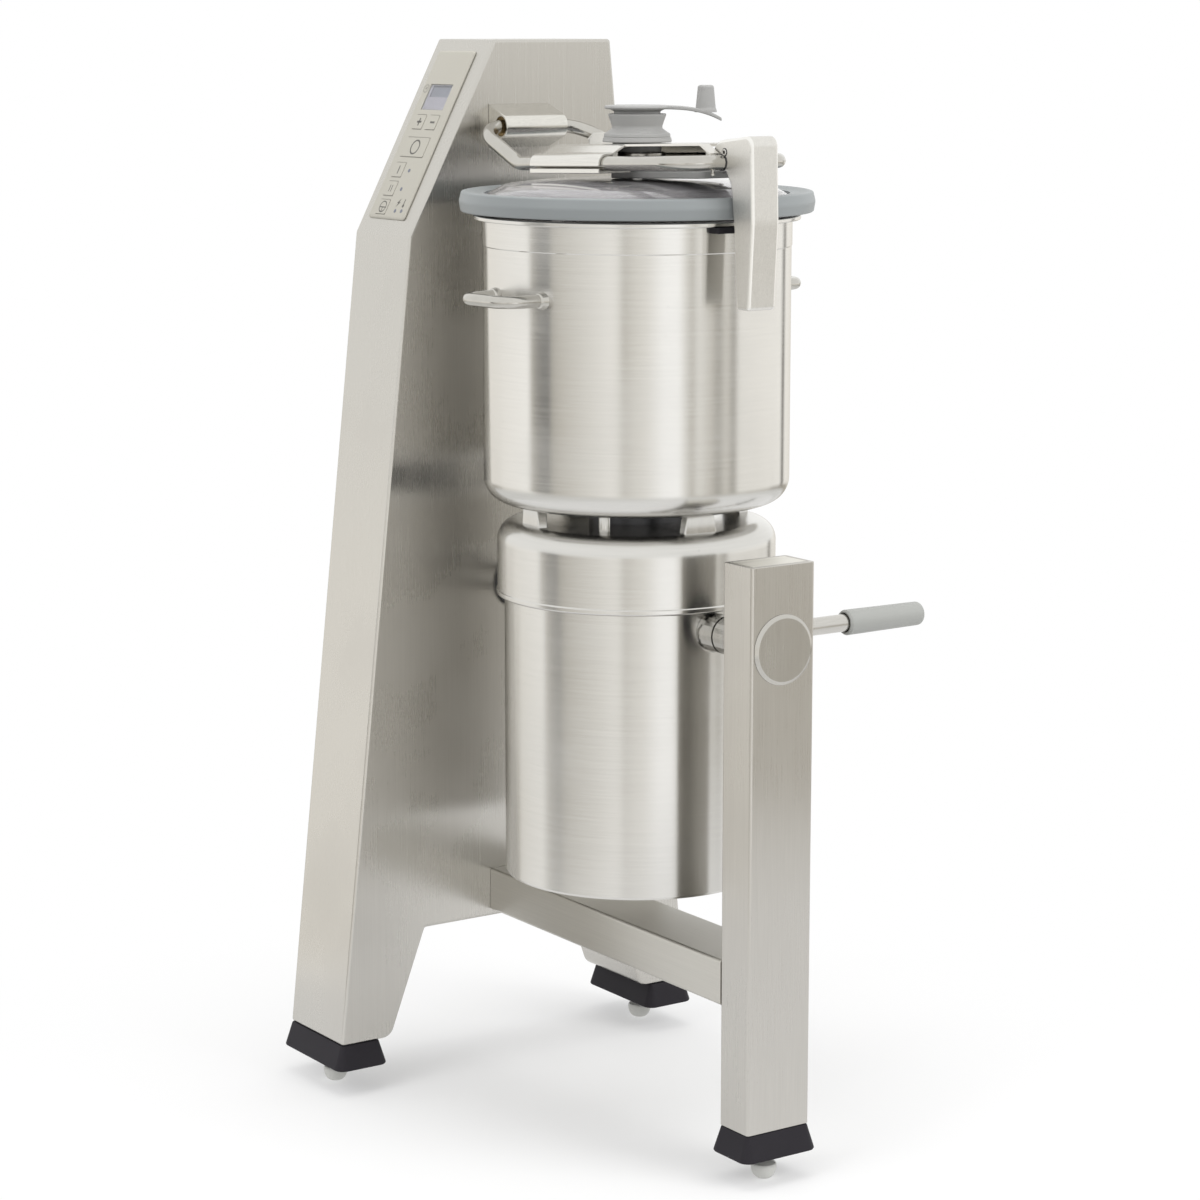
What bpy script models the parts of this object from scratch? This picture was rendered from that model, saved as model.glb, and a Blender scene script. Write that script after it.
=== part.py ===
"""Tilting vertical cutter mixer with a 28 litre bowl: a floor-standing meat bowl cutter.

A hollow sheet-steel column carries a cross beam and a square post. The motor unit with the bowl
hangs between column and post on two trunnions and tips forward. The lid hangs on a bent rod
yoke, hinged in a housing on the column, and carries a latch handle and a hand-cranked wiper.

Frame: metres, +Z up, the operator stands on the -Y side, the column is on the -X side.
All machine pieces are placed from the bowl axis (x = 0, y = 0) and the floor (z = 0). One empty,
the machine frame, then moves everything so that the origin is the bottom centre of its box.
"""
import math

import bmesh
import bpy
from mathutils import Matrix, Vector

# Clearances shared by the whole machine
SEAT_GAP = 0.0003
RUN_GAP = 0.0005
CUT_OVERRUN = 0.004

# Column, an A-shaped sheet-steel body seen along X
COLUMN_TOP_RISE = 0.100
COLUMN_THICKNESS = 0.126
COLUMN_DISTANCE = 0.250
COLUMN_SHEET = 0.002
COLUMN_TOP_FRONT = -0.030
COLUMN_TOP_REAR = 0.135
COLUMN_BREAK_FRONT = -0.148
COLUMN_BREAK_DROP = 0.226
LEG_FRONT = -0.254
LEG_REAR = 0.251
LEG_BOTTOM = 0.062
LEG_FOOT_WIDTH = 0.069
LEG_CORNER_RADIUS = 0.016
ARCH_HALF_WIDTH = 0.136
ARCH_BELOW_BEAM = 0.008
FOLD_RADIUS = 0.004

# Beam and post, one section of rectangular tube
TUBE_WIDTH = 0.085
TUBE_DEPTH = 0.052
TUBE_WALL = 0.003
TUBE_EDGE_RADIUS = 0.0035
BEAM_BELOW_MOTOR = 0.052
POST_CLEARANCE = 0.0222
POST_TOP_RISE = 0.093
TOP_CAP_THICKNESS = 0.003
WELD_SINK = 0.0006

# Boots and levelling feet
BOOT_BOTTOM = 0.032
BOOT_FLARE = 0.009
BOOT_EDGE_RADIUS = 0.003
FOOT_RADIUS = 0.0145
FOOT_FLAT_RADIUS = 0.006
FOOT_DOME_HEIGHT = 0.014
FOOT_STEM_RADIUS = 0.006

# Tilt axis and trunnions
TILT_HEIGHT = 0.604
TRUNNION_RADIUS = 0.017
TRUNNION_END_GAP = 0.012
BEARING_RADIUS = 0.026
BEARING_FLANGE_RADIUS = 0.033
BEARING_FLANGE = 0.004
BEARING_LENGTH = 0.022
SPACER_RADIUS = 0.0215
SPACER_LENGTH = 0.027
PIVOT_CAP_RADIUS = 0.039
PIVOT_CAP_PROUD = 0.003
PIVOT_CAP_SPIGOT = 0.010

# Tilt lever
LEVER_HUB_RADIUS = 0.021
LEVER_HUB_LENGTH = 0.026
LEVER_HUB_GAP = 0.002
LEVER_ROD_RADIUS = 0.010
LEVER_ROD_REACH = 0.153
GRIP_RADIUS = 0.0145
GRIP_END_RADIUS = 0.0135
GRIP_REACH = 0.262
GRIP_MOUTH = 0.0125
GRIP_TRAVEL = 0.010
GRIP_BORE_REACH = 0.175
GRIP_ROUNDING = 0.005

# Motor unit
MOTOR_RADIUS = 0.151
MOTOR_DROP = 0.301
MOTOR_WALL = 0.006
MOTOR_EDGE = 0.002
MOTOR_TOP_RISE = 0.051
CAP_PROUD = 0.008
CAP_BOTTOM_RISE = 0.0228
CAP_BEAD_HEIGHT = 0.007
CAP_BEAD_PROUD = 0.0012
CAP_TOP_RISE = 0.109
CAP_SHOULDER_RADIUS = 0.023
CAP_SHEET = 0.0025
NOTCH_RADIUS = 0.0235
NOTCH_DEPTH = 0.0035
BASE_PLATE_THICKNESS = 0.004
BASE_PLATE_RISE = 0.002
STATOR_CLEARANCE = 0.047
STATOR_HEIGHT = 0.190
ROTOR_RADIUS = 0.060
ROTOR_HEIGHT = 0.157
SHAFT_RADIUS = 0.013
SHAFT_BEARING_RADIUS = 0.028
SHAFT_BEARING_HEIGHT = 0.015

# Bowl
BOWL_RADIUS = 0.1746
BOWL_WELD_STEP = 0.0008
BOWL_SHEET = 0.0025
BOWL_LIFT = 0.0215
BOWL_FLOOR = 0.004
BOWL_CORNER_RADIUS = 0.028
BOWL_HEIGHT = 0.3235
BOWL_WELD_DROP = 0.0345
FLANGE_WIDTH = 0.0094
FLANGE_THICKNESS = 0.005
HUB_TUBE_RADIUS = 0.026
HUB_TUBE_BORE = 0.020
HUB_TUBE_HEIGHT = 0.112
SUPPORT_INSET = 0.030
SUPPORT_HALF_SPREAD = math.radians(47)
SUPPORT_AXIS = math.radians(-50)
SUPPORT_WIDTH = 0.042
SUPPORT_TOP_SHARE = 0.84
SUPPORT_DEPTH = 0.012
PIN_RADIUS = 0.0065
PIN_INSET = 0.051
PIN_ANGLE = math.radians(-54)
RING_RADIUS = 0.054
RING_BORE = 0.034
HANDLE_ROD_RADIUS = 0.007
HANDLE_WIDTH = 0.082
HANDLE_REACH = 0.050
HANDLE_BEND = 0.024
HANDLE_DROP = 0.086
HANDLE_TURN = math.radians(5)
KEEPER_WIDTH = 0.050
KEEPER_HEIGHT = 0.0065
KEEPER_REACH = 0.0125

# Cutting tool
BLADE_HUB_WALL = 0.006
BLADE_HUB_CLEARANCE = 0.0015
BLADE_HUB_RISE = 0.1375
BLADE_HUB_COLLAR = 0.012
BLADE_THICKNESS = 0.003
BLADE_TIP_CLEARANCE = 0.012
BLADE_ROOT_HALF_ANGLE = math.radians(34)
BLADE_SWEEP = math.radians(62)
BLADE_TIP_WIDTH = 0.006
BLADE_FLOOR_GAP = 0.0105
BLADE_PITCH = 0.032
BLADE_COUNT = 3
BLADE_CAP_RADIUS = 0.022
BLADE_CAP_HEIGHT = 0.020

# Lid hinge and yoke
HINGE_FROM_COLUMN = 0.0275
HINGE_RISE = 0.0528
HOUSING_FRONT = -0.039
HOUSING_REAR = 0.046
HOUSING_NOSE_RADIUS = 0.0145
HOUSING_HALF_HEIGHT = 0.0255
HOUSING_BORE_RADIUS = 0.0118
BUSH_RECESS = 0.008
YOKE_ROD_RADIUS = 0.008
YOKE_HALF_WIDTH = 0.0755
YOKE_BEND = 0.040
YOKE_FRONT_BEND = 0.042
YOKE_DROP = 0.042
YOKE_KNEE_GAP = 0.039
LATCH_AXIS_INSET = 0.0153
YOKE_RISE = math.radians(2)

# Saddle and strap, formed sheet on the yoke
SADDLE_SHEET = 0.0028
SADDLE_BACK = 0.0945
SADDLE_FRONT = 0.0435
SADDLE_TOP = 0.0215
SADDLE_FLAT_HALF_WIDTH = 0.050
STRAP_HALF_WIDTH_START = 0.048
STRAP_HALF_WIDTH_END = 0.031
STRAP_FALL_LENGTH = 0.022
STRAP_FORK_GAP = 0.0015
SADDLE_SKIRT_THICKNESS = 0.0025
SADDLE_WEB_DEPTH = 0.014
SADDLE_TAB_RISE = 0.0125
SADDLE_TAB_LEFT = 0.0075
SADDLE_TAB_RIGHT = 0.0285

# Lid
LID_RING_OVERHANG = 0.016
LID_RING_INSET = 0.0031
LID_GAP = 0.0035
LID_RING_HEIGHT = 0.0235
LID_RING_LIP_DROP = 0.0057
LID_DOME_SHEET = 0.003
LID_DOME_FLANGE = 0.0054
LID_DOME_FOOT_INSET = 0.0046
LID_DOME_SHOULDER_INSET = 0.0246
LID_DOME_RISE = 0.0122
LID_DOME_SHOULDER_DROP = 0.0065
LID_DOME_HOLE_RADIUS = 0.0095
GASKET_INSET = 0.0021
GASKET_PROUD = 0.0005
BOSS_NECK_RADIUS = 0.0275
BOSS_HALF_WIDTH = 0.030
BOSS_LENGTH = 0.160
BOSS_THICKNESS = 0.0078
CLAMP_RADIUS = 0.0325
CLAMP_DROP = 0.0285
CLAMP_HEIGHT = 0.006
TOWER_DROP = 0.0118
TOWER_FLARE_RADIUS = 0.0389
TOWER_FLARE_HEIGHT = 0.0095
TOWER_LEDGE = 0.002
TOWER_WAIST_RADIUS = 0.0280
TOWER_WAIST_HEIGHT = 0.0160
TOWER_RIM_RADIUS = 0.0325
TOWER_HEIGHT = 0.0312

# Wiper
WIPER_SHAFT_RADIUS = 0.006
WIPER_ANGLE = math.radians(55.8)
CRANK_DISC_RADIUS = 0.0370
CRANK_NECK_RADIUS = 0.0260
CRANK_NECK_HEIGHT = 0.0035
CRANK_DISC_THICKNESS = 0.0055
CRANK_REACH = 0.0945
CRANK_ARM_WIDTH = 0.030
CRANK_TIP_WIDTH = 0.024
CRANK_ARM_THICKNESS = 0.004
CRANK_ARM_DROP = 0.0135
CRANK_ARM_CURVE = 3.2
KNOB_DISTANCE = 0.0765
KNOB_RISE = 0.0316
KNOB_BASE_RADIUS = 0.0115
KNOB_TOP_RADIUS = 0.0088
WIPER_CLEARANCE = 0.0286
WIPER_TAIL = 0.030
WIPER_BAR_WIDTH = 0.016
WIPER_BAR_THICKNESS = 0.004
WIPER_BAR_DROP = 0.0005
WIPER_BLADE_THICKNESS = 0.004

# Latch handle
LATCH_HALF_WIDTH = 0.018
LATCH_LOBE_RADIUS = 0.018
LATCH_LOBE_RISE = 0.006
LATCH_TOP_DEPTH = 0.0525
LATCH_TOP_RISE = 0.0300
LATCH_TOP_RADIUS = 0.0110
LATCH_BELLY_DEPTH = 0.0555
LATCH_BELLY_DROP = 0.062
LATCH_BELLY_RADIUS = 0.100
LATCH_LENGTH = 0.156
LATCH_FOOT_OUTER = 0.0495
LATCH_FOOT_INNER = 0.0270
LATCH_FOOT_RADIUS = 0.0045
LATCH_WAIST_DEPTH = 0.0205
LATCH_WAIST_DROP = 0.069
LATCH_WAIST_RADIUS = 0.150
LATCH_THROAT_DEPTH = 0.0150
LATCH_THROAT_DROP = 0.024
LATCH_THROAT_RADIUS = 0.012
LATCH_EDGE_RADIUS = 0.0035
NOSE_HEIGHT = 0.007
NOSE_CLEARANCE = 0.0016
NOSE_WIDTH = 0.030

# Control panel on the sloping front of the column
PANEL_OFFSET = -0.004
PANEL_WIDTH = 0.082
PANEL_LENGTH = 0.220
PANEL_TOP_DISTANCE = 0.016
PANEL_THICKNESS = 0.0025
PANEL_CORNER_RADIUS = 0.004
PANEL_REBATE = 0.004
KEY_THICKNESS = 0.0024
KEY_PROUD = 0.0004
KEY_CLEARANCE = 0.0004
KEY_CORNER_RADIUS = 0.0012
BOARD_THICKNESS = 0.0024
KEY_COLUMN = 0.0260
KEY_WIDTH = 0.0220
KEY_HEIGHT = 0.0190
WIDE_KEY_WIDTH = 0.0510
WIDE_KEY_HEIGHT = 0.0256
MINUS_COLUMN = 0.0557
PLUS_ROW = 0.0946
STOP_ROW = 0.1273
SPEED_ONE_ROW = 0.1573
SPEED_TWO_ROW = 0.1816
PULSE_ROW = 0.2056
# Each key: name, centre from the panel's left and top edge, width and height
KEYS = (
    ("key_plus", KEY_COLUMN, PLUS_ROW, KEY_WIDTH, KEY_HEIGHT),
    ("key_minus", MINUS_COLUMN, PLUS_ROW, KEY_WIDTH, KEY_HEIGHT),
    ("key_stop", PANEL_WIDTH / 2, STOP_ROW, WIDE_KEY_WIDTH, WIDE_KEY_HEIGHT),
    ("key_speed_one", KEY_COLUMN, SPEED_ONE_ROW, KEY_WIDTH, KEY_HEIGHT),
    ("key_speed_two", KEY_COLUMN, SPEED_TWO_ROW, KEY_WIDTH, KEY_HEIGHT),
    ("key_pulse", KEY_COLUMN, PULSE_ROW, KEY_WIDTH, KEY_HEIGHT),
)
WINDOW_ROW = 0.0616
WINDOW_WIDTH = 0.0495
WINDOW_HEIGHT = 0.0336
WINDOW_CORNER_RADIUS = 0.0025

# Rear entry of the supply lead
GLAND_RADIUS = 0.012
GLAND_BORE = 0.006
GLAND_HEIGHT = 0.018
GLAND_FLANGE_RADIUS = 0.016
GLAND_FLANGE = 0.004
GLAND_Y = 0.060

# Roundness of the turned pieces
LARGE_STEPS = 40
MEDIUM_STEPS = 24
SMALL_STEPS = 16
ARC_STEPS = 5

# Colours as linear values with roughness and metallic value
STEEL = ((0.52, 0.50, 0.46), 0.33, 1.0)
BRIGHT_STEEL = ((0.60, 0.58, 0.55), 0.22, 1.0)
CAST_STEEL = ((0.56, 0.54, 0.50), 0.42, 0.9)
DARK_STEEL = ((0.20, 0.20, 0.20), 0.40, 1.0)
GREY_PLASTIC = ((0.30, 0.31, 0.32), 0.50, 0.0)
RING_PLASTIC = ((0.28, 0.32, 0.34), 0.42, 0.0)
BLACK_RUBBER = ((0.02, 0.02, 0.022), 0.70, 0.0)
PALE_PLASTIC = ((0.60, 0.60, 0.58), 0.45, 0.0)
CLEAR_PLASTIC = ((0.85, 0.87, 0.87), 0.08, 0.0)
PANEL_FILM = ((0.60, 0.58, 0.52), 0.45, 0.0)
COPPER_STACK = ((0.25, 0.13, 0.08), 0.55, 0.6)
BOARD_GREEN = ((0.03, 0.16, 0.07), 0.55, 0.0)
BRASS = ((0.55, 0.42, 0.20), 0.35, 1.0)


# Places worked out from the sizes above
MOTOR_BOTTOM = TILT_HEIGHT - MOTOR_DROP
MOTOR_TOP = TILT_HEIGHT + MOTOR_TOP_RISE
CAP_BOTTOM = TILT_HEIGHT + CAP_BOTTOM_RISE
CAP_TOP = TILT_HEIGHT + CAP_TOP_RISE
CAP_UNDERSIDE = CAP_TOP - CAP_SHEET
CAP_RADIUS = MOTOR_RADIUS + CAP_PROUD
NOTCH_DISTANCE = MOTOR_RADIUS - NOTCH_DEPTH
STATOR_RADIUS = MOTOR_RADIUS - MOTOR_WALL - STATOR_CLEARANCE
SUPPORT_CIRCLE = CAP_RADIUS - SUPPORT_INSET
PIN_CIRCLE = CAP_RADIUS - PIN_INSET
BASE_PLATE_TOP = MOTOR_BOTTOM + BASE_PLATE_RISE + BASE_PLATE_THICKNESS
BOWL_LOWER_RADIUS = BOWL_RADIUS - BOWL_WELD_STEP
BOWL_INNER_RADIUS = BOWL_LOWER_RADIUS - BOWL_SHEET
BOWL_BOTTOM = CAP_TOP + BOWL_LIFT
BOWL_RIM = BOWL_BOTTOM + BOWL_HEIGHT
BOWL_WELD_HEIGHT = BOWL_RIM - BOWL_WELD_DROP
FLANGE_RADIUS = BOWL_RADIUS + FLANGE_WIDTH
HANDLE_HEIGHT = BOWL_RIM - HANDLE_DROP
BLADE_HUB_TOP = BOWL_BOTTOM + BLADE_HUB_RISE
BLADE_FIRST_HEIGHT = BOWL_BOTTOM + BLADE_FLOOR_GAP
BLADE_HUB_BORE = HUB_TUBE_RADIUS + BLADE_HUB_CLEARANCE
BLADE_HUB_RADIUS = BLADE_HUB_BORE + BLADE_HUB_WALL
LID_RING_BOTTOM = BOWL_RIM + LID_GAP
LID_RING_TOP = LID_RING_BOTTOM + LID_RING_HEIGHT
LID_RING_LIP = LID_RING_TOP - LID_RING_LIP_DROP
LID_RING_RADIUS = FLANGE_RADIUS + LID_RING_OVERHANG
LID_RING_INNER = BOWL_RADIUS - LID_RING_INSET
LID_DOME_FLANGE_RADIUS = BOWL_RADIUS + LID_DOME_FLANGE
LID_DOME_FOOT_RADIUS = BOWL_RADIUS - LID_DOME_FOOT_INSET
LID_DOME_SHOULDER_RADIUS = BOWL_RADIUS - LID_DOME_SHOULDER_INSET
LID_DOME_CROWN = LID_RING_TOP + LID_DOME_RISE
GASKET_INNER = BOWL_RADIUS - GASKET_INSET
GASKET_BOTTOM = LID_RING_BOTTOM - GASKET_PROUD
WIPER_REACH = BOWL_RADIUS - WIPER_CLEARANCE
WIPER_BAR_TOP = LID_RING_TOP - WIPER_BAR_DROP
HINGE_HEIGHT = LID_DOME_CROWN + HINGE_RISE
CLAMP_BOTTOM = HINGE_HEIGHT - CLAMP_DROP
BOSS_TOP = CLAMP_BOTTOM + CLAMP_HEIGHT
TOWER_BOTTOM = HINGE_HEIGHT - TOWER_DROP
TOWER_TOP = TOWER_BOTTOM + TOWER_HEIGHT
KNOB_TOP = TOWER_TOP + KNOB_RISE
CRANK_BOTTOM = TOWER_TOP + SEAT_GAP
CRANK_TOP = CRANK_BOTTOM + CRANK_NECK_HEIGHT + CRANK_DISC_THICKNESS
COLUMN_HEIGHT = HINGE_HEIGHT + COLUMN_TOP_RISE
COLUMN_BREAK_HEIGHT = COLUMN_HEIGHT - COLUMN_BREAK_DROP
COLUMN_WALL = -COLUMN_DISTANCE
COLUMN_BACK = COLUMN_WALL - COLUMN_THICKNESS
BEAM_BOTTOM = MOTOR_BOTTOM - BEAM_BELOW_MOTOR - TUBE_DEPTH
ARCH_HEIGHT = BEAM_BOTTOM - ARCH_BELOW_BEAM
LEVER_HUB_START = NOTCH_DISTANCE + SEAT_GAP + SPACER_LENGTH + LEVER_HUB_GAP
LEVER_X = LEVER_HUB_START + LEVER_HUB_LENGTH / 2
POST_DISTANCE = LEVER_HUB_START + LEVER_HUB_LENGTH + POST_CLEARANCE
POST_OUTER = POST_DISTANCE + TUBE_DEPTH
POST_HEIGHT = TILT_HEIGHT + POST_TOP_RISE
HINGE_X = COLUMN_WALL + HINGE_FROM_COLUMN
YOKE_SHIFT = (HOUSING_FRONT + HOUSING_REAR) / 2
YOKE_FRONT_X = LID_RING_RADIUS - LATCH_AXIS_INSET
YOKE_REACH = YOKE_FRONT_X - HINGE_X
YOKE_LENGTH = (YOKE_REACH - YOKE_DROP * math.sin(YOKE_RISE)) / math.cos(YOKE_RISE)
YOKE_FRONT_Z = HINGE_HEIGHT - YOKE_DROP * math.cos(YOKE_RISE) + YOKE_LENGTH * math.sin(YOKE_RISE)
SADDLE_START = -HINGE_X - SADDLE_BACK
SADDLE_END = -HINGE_X + SADDLE_FRONT
YOKE_KNEE = SADDLE_START - YOKE_KNEE_GAP


def clear_scene():
    """Remove every object that the scene holds at the start."""
    for scene_object in list(bpy.data.objects):
        bpy.data.objects.remove(scene_object, do_unlink=True)


def new_collection(name):
    """Make a collection and link it to the scene."""
    collection = bpy.data.collections.new(name)
    bpy.context.scene.collection.children.link(collection)
    return collection


clear_scene()
PARTS = new_collection("meat_bowl_cutter")
CUTTERS = new_collection("cutters")


def new_empty(name, parent=None, place=(0, 0, 0), turn=(0, 0, 0)):
    """Make a frame that pieces hang from."""
    empty = bpy.data.objects.new(name, None)
    empty.parent = parent
    empty.location = place
    empty.rotation_euler = turn
    PARTS.objects.link(empty)
    return empty


MACHINE = new_empty("machine_frame")
TILT = new_empty("tilt_frame", MACHINE, (0, 0, TILT_HEIGHT))
SPIN = new_empty("blade_frame", TILT, (0, 0, -TILT_HEIGHT))
ARM = new_empty("lid_arm_frame", MACHINE, (HINGE_X, 0, HINGE_HEIGHT))
SLOPED_ARM = new_empty("yoke_frame", ARM, (0, YOKE_SHIFT, 0), (0, -YOKE_RISE, 0))
WIPER = new_empty("wiper_frame", ARM, (-HINGE_X, 0, -HINGE_HEIGHT), (0, 0, WIPER_ANGLE))
LATCH = new_empty("latch_frame", ARM, (YOKE_FRONT_X - HINGE_X, 0, YOKE_FRONT_Z - HINGE_HEIGHT))
LEVER = new_empty("lever_frame", TILT, (LEVER_X, 0, 0))


def paint(piece, finish):
    """Give a piece a material of its own."""
    colour, roughness, metallic = finish
    material = bpy.data.materials.new(piece.name + "_finish")
    material.use_nodes = True
    shader = material.node_tree.nodes["Principled BSDF"]
    shader.inputs["Base Color"].default_value = (*colour, 1.0)
    shader.inputs["Roughness"].default_value = roughness
    shader.inputs["Metallic"].default_value = metallic
    piece.data.materials.clear()
    piece.data.materials.append(material)


def add_piece(name, data, finish, parent=MACHINE, place=(0, 0, 0), turn=(0, 0, 0)):
    """Put mesh or curve data into the scene as one named piece."""
    piece = bpy.data.objects.new(name, data)
    piece.parent = parent
    piece.location = place
    piece.rotation_euler = turn
    PARTS.objects.link(piece)
    paint(piece, finish)
    return piece


def add_cutter(name, data, target, place=(0, 0, 0), turn=(0, 0, 0), solver="EXACT"):
    """Cut a wire-frame tool out of a piece; place and turn are in the piece's own frame."""
    cutter = bpy.data.objects.new(name, data)
    cutter.parent = target
    cutter.location = place
    cutter.rotation_euler = turn
    cutter.hide_render = True
    cutter.display_type = "WIRE"
    CUTTERS.objects.link(cutter)
    cut = target.modifiers.new(name, "BOOLEAN")
    cut.operation = "DIFFERENCE"
    cut.object = cutter
    cut.solver = solver
    return cutter


def join_helper(helper, target):
    """Weld a helper solid into a piece as one body; the helper itself becomes a wire guide."""
    helper.hide_render = True
    helper.display_type = "WIRE"
    for collection in list(helper.users_collection):
        collection.objects.unlink(helper)
    CUTTERS.objects.link(helper)
    join = target.modifiers.new(helper.name, "BOOLEAN")
    join.operation = "UNION"
    join.object = helper
    join.solver = "EXACT"


def add_box(build, low, high):
    """Put a box between two corners into a mesh being built."""
    size = Vector(high) - Vector(low)
    middle = (Vector(high) + Vector(low)) / 2
    matrix = Matrix.Translation(middle) @ Matrix.Diagonal((*size, 1))
    return bmesh.ops.create_cube(build, size=1, matrix=matrix)["verts"]


def add_rod(build, radius, low, high, steps=MEDIUM_STEPS, top_radius=None, place=(0, 0)):
    """Put a cylinder or cone along Z into a mesh being built."""
    bmesh.ops.create_cone(
        build,
        cap_ends=True,
        segments=steps,
        radius1=radius,
        radius2=radius if top_radius is None else top_radius,
        depth=high - low,
        matrix=Matrix.Translation((*place, (low + high) / 2)),
    )


def finish_mesh(name, build):
    """Turn what was built into mesh data."""
    mesh = bpy.data.meshes.new(name)
    build.to_mesh(mesh)
    build.free()
    return mesh


def box_mesh(name, low, high):
    """A box between two corners."""
    build = bmesh.new()
    add_box(build, low, high)
    return finish_mesh(name, build)


def rod_mesh(name, radius, low, high, steps=MEDIUM_STEPS, top_radius=None):
    """A cylinder or cone along Z from low to high."""
    build = bmesh.new()
    add_rod(build, radius, low, high, steps, top_radius)
    return finish_mesh(name, build)


def smooth(piece, angle=math.radians(35)):
    """Shade a piece smooth except along its sharp edges."""
    piece.data.shade_smooth()
    piece.data.set_sharp_from_angle(angle=angle)


def bevel(piece, width, segments=2, angle=math.radians(40)):
    """Round the sharp edges of a piece."""
    rounding = piece.modifiers.new("rounding", "BEVEL")
    rounding.width = width
    rounding.segments = segments
    rounding.limit_method = "ANGLE"
    rounding.angle_limit = angle


def turned(name, profile, finish, parent=MACHINE, steps=LARGE_STEPS, place=(0, 0, 0), turn=(0, 0, 0)):
    """Turn a profile of (radius, height) points about Z, running down its outer side.

    A profile that keeps off the axis is the section of a ring and is closed.
    """
    points = [(radius, 0, height) for radius, height in profile]
    edges = [(index, index + 1) for index in range(len(points) - 1)]
    if profile[0][0] > 0:
        edges.append((len(points) - 1, 0))
    mesh = bpy.data.meshes.new(name)
    mesh.from_pydata(points, edges, [])
    piece = add_piece(name, mesh, finish, parent, place, turn)
    screw = piece.modifiers.new("turning", "SCREW")
    screw.steps = steps
    screw.render_steps = steps
    screw.use_merge_vertices = True
    screw.merge_threshold = 0.00001
    screw.use_smooth_shade = True
    return piece


def ring_profile(outer, bore, low, high):
    """The section of a plain ring, down the outside and up the bore."""
    return [(outer, high), (outer, low), (bore, low), (bore, high)]


def arc(centre, radius, start, end, steps=ARC_STEPS):
    """Points along an arc, both ends included."""
    points = []
    for index in range(steps + 1):
        angle = start + (end - start) * index / steps
        points.append((centre[0] + radius * math.cos(angle), centre[1] + radius * math.sin(angle)))
    return points


def rounded_path(points, radii, closed=False, steps=ARC_STEPS):
    """Replace each corner of a path in space by a tangent arc of the given radius."""
    corners = [Vector(point) for point in points]
    count = len(corners)
    path = []
    for index, corner in enumerate(corners):
        radius = radii[index]
        at_end = not closed and index in (0, count - 1)
        if at_end or radius == 0:
            path.append(corner)
            continue
        back = (corners[index - 1] - corner).normalized()
        ahead = (corners[(index + 1) % count] - corner).normalized()
        half = back.angle(ahead) / 2
        centre = corner + (back + ahead).normalized() * radius / math.sin(half)
        first = corner + back * radius / math.tan(half) - centre
        last = corner + ahead * radius / math.tan(half) - centre
        sweep = first.angle(last)
        for step in range(steps + 1):
            share = step / steps
            spoke = first * math.sin((1 - share) * sweep) + last * math.sin(share * sweep)
            path.append(centre + spoke / math.sin(sweep))
    return path


def flat_curve(name, outlines, thickness):
    """A filled outline in the XY plane, extruded evenly to both sides of it."""
    curve = bpy.data.curves.new(name, "CURVE")
    curve.dimensions = "2D"
    curve.fill_mode = "BOTH"
    curve.extrude = thickness / 2
    for outline in outlines:
        spline = curve.splines.new("POLY")
        spline.points.add(len(outline) - 1)
        for point, place in zip(spline.points, outline):
            point.co = (place[0], place[1], 0, 1)
        spline.use_cyclic_u = True
    return curve


def rod_curve(name, path, radius, closed=False, resolution=3):
    """A round rod along a path, with filled ends."""
    curve = bpy.data.curves.new(name, "CURVE")
    curve.dimensions = "3D"
    curve.bevel_depth = radius
    curve.bevel_resolution = resolution
    curve.use_fill_caps = not closed
    spline = curve.splines.new("POLY")
    spline.points.add(len(path) - 1)
    for point, place in zip(spline.points, path):
        point.co = (*place, 1)
    spline.use_cyclic_u = closed
    return curve


def curve_to_mesh(piece, weld=0.00001):
    """Turn a curve piece into a mesh piece with its caps welded on."""
    bpy.context.view_layer.update()
    evaluated = piece.evaluated_get(bpy.context.evaluated_depsgraph_get())
    mesh = bpy.data.meshes.new_from_object(evaluated)
    build = bmesh.new()
    build.from_mesh(mesh)
    bmesh.ops.remove_doubles(build, verts=build.verts, dist=weld)
    bmesh.ops.recalc_face_normals(build, faces=build.faces)
    build.to_mesh(mesh)
    build.free()
    name = piece.name
    parent = piece.parent
    place = piece.location.copy()
    turn = piece.rotation_euler.copy()
    material = piece.data.materials[0]
    curve = piece.data
    bpy.data.objects.remove(piece, do_unlink=True)
    bpy.data.curves.remove(curve)
    mesh_piece = bpy.data.objects.new(name, mesh)
    mesh_piece.parent = parent
    mesh_piece.location = place
    mesh_piece.rotation_euler = turn
    PARTS.objects.link(mesh_piece)
    mesh.materials.clear()
    mesh.materials.append(material)
    return mesh_piece


def mirrored(points):
    """Repeat a half section on the other side of its middle."""
    return points + [(-across, up) for across, up in reversed(points)]


# The column


def column_outline(inset=0.0):
    """The column's outline in the YZ plane, as (y, z) corners with their radii."""
    corners = [
        (COLUMN_TOP_FRONT, COLUMN_HEIGHT),
        (COLUMN_BREAK_FRONT, COLUMN_BREAK_HEIGHT),
        (LEG_FRONT, LEG_BOTTOM),
        (LEG_FRONT + LEG_FOOT_WIDTH, LEG_BOTTOM),
        (-ARCH_HALF_WIDTH, ARCH_HEIGHT),
        (ARCH_HALF_WIDTH, ARCH_HEIGHT),
        (LEG_REAR - LEG_FOOT_WIDTH, LEG_BOTTOM),
        (LEG_REAR, LEG_BOTTOM),
        (COLUMN_TOP_REAR, COLUMN_HEIGHT),
    ]
    fold = FOLD_RADIUS
    foot = LEG_CORNER_RADIUS
    radii = [fold, fold, fold, foot, fold, fold, foot, fold, fold]
    points = [(0, y, z) for y, z in corners]
    path = rounded_path(points, radii, closed=True, steps=3)
    return inset_outline([(point.y, point.z) for point in path], inset)


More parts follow.
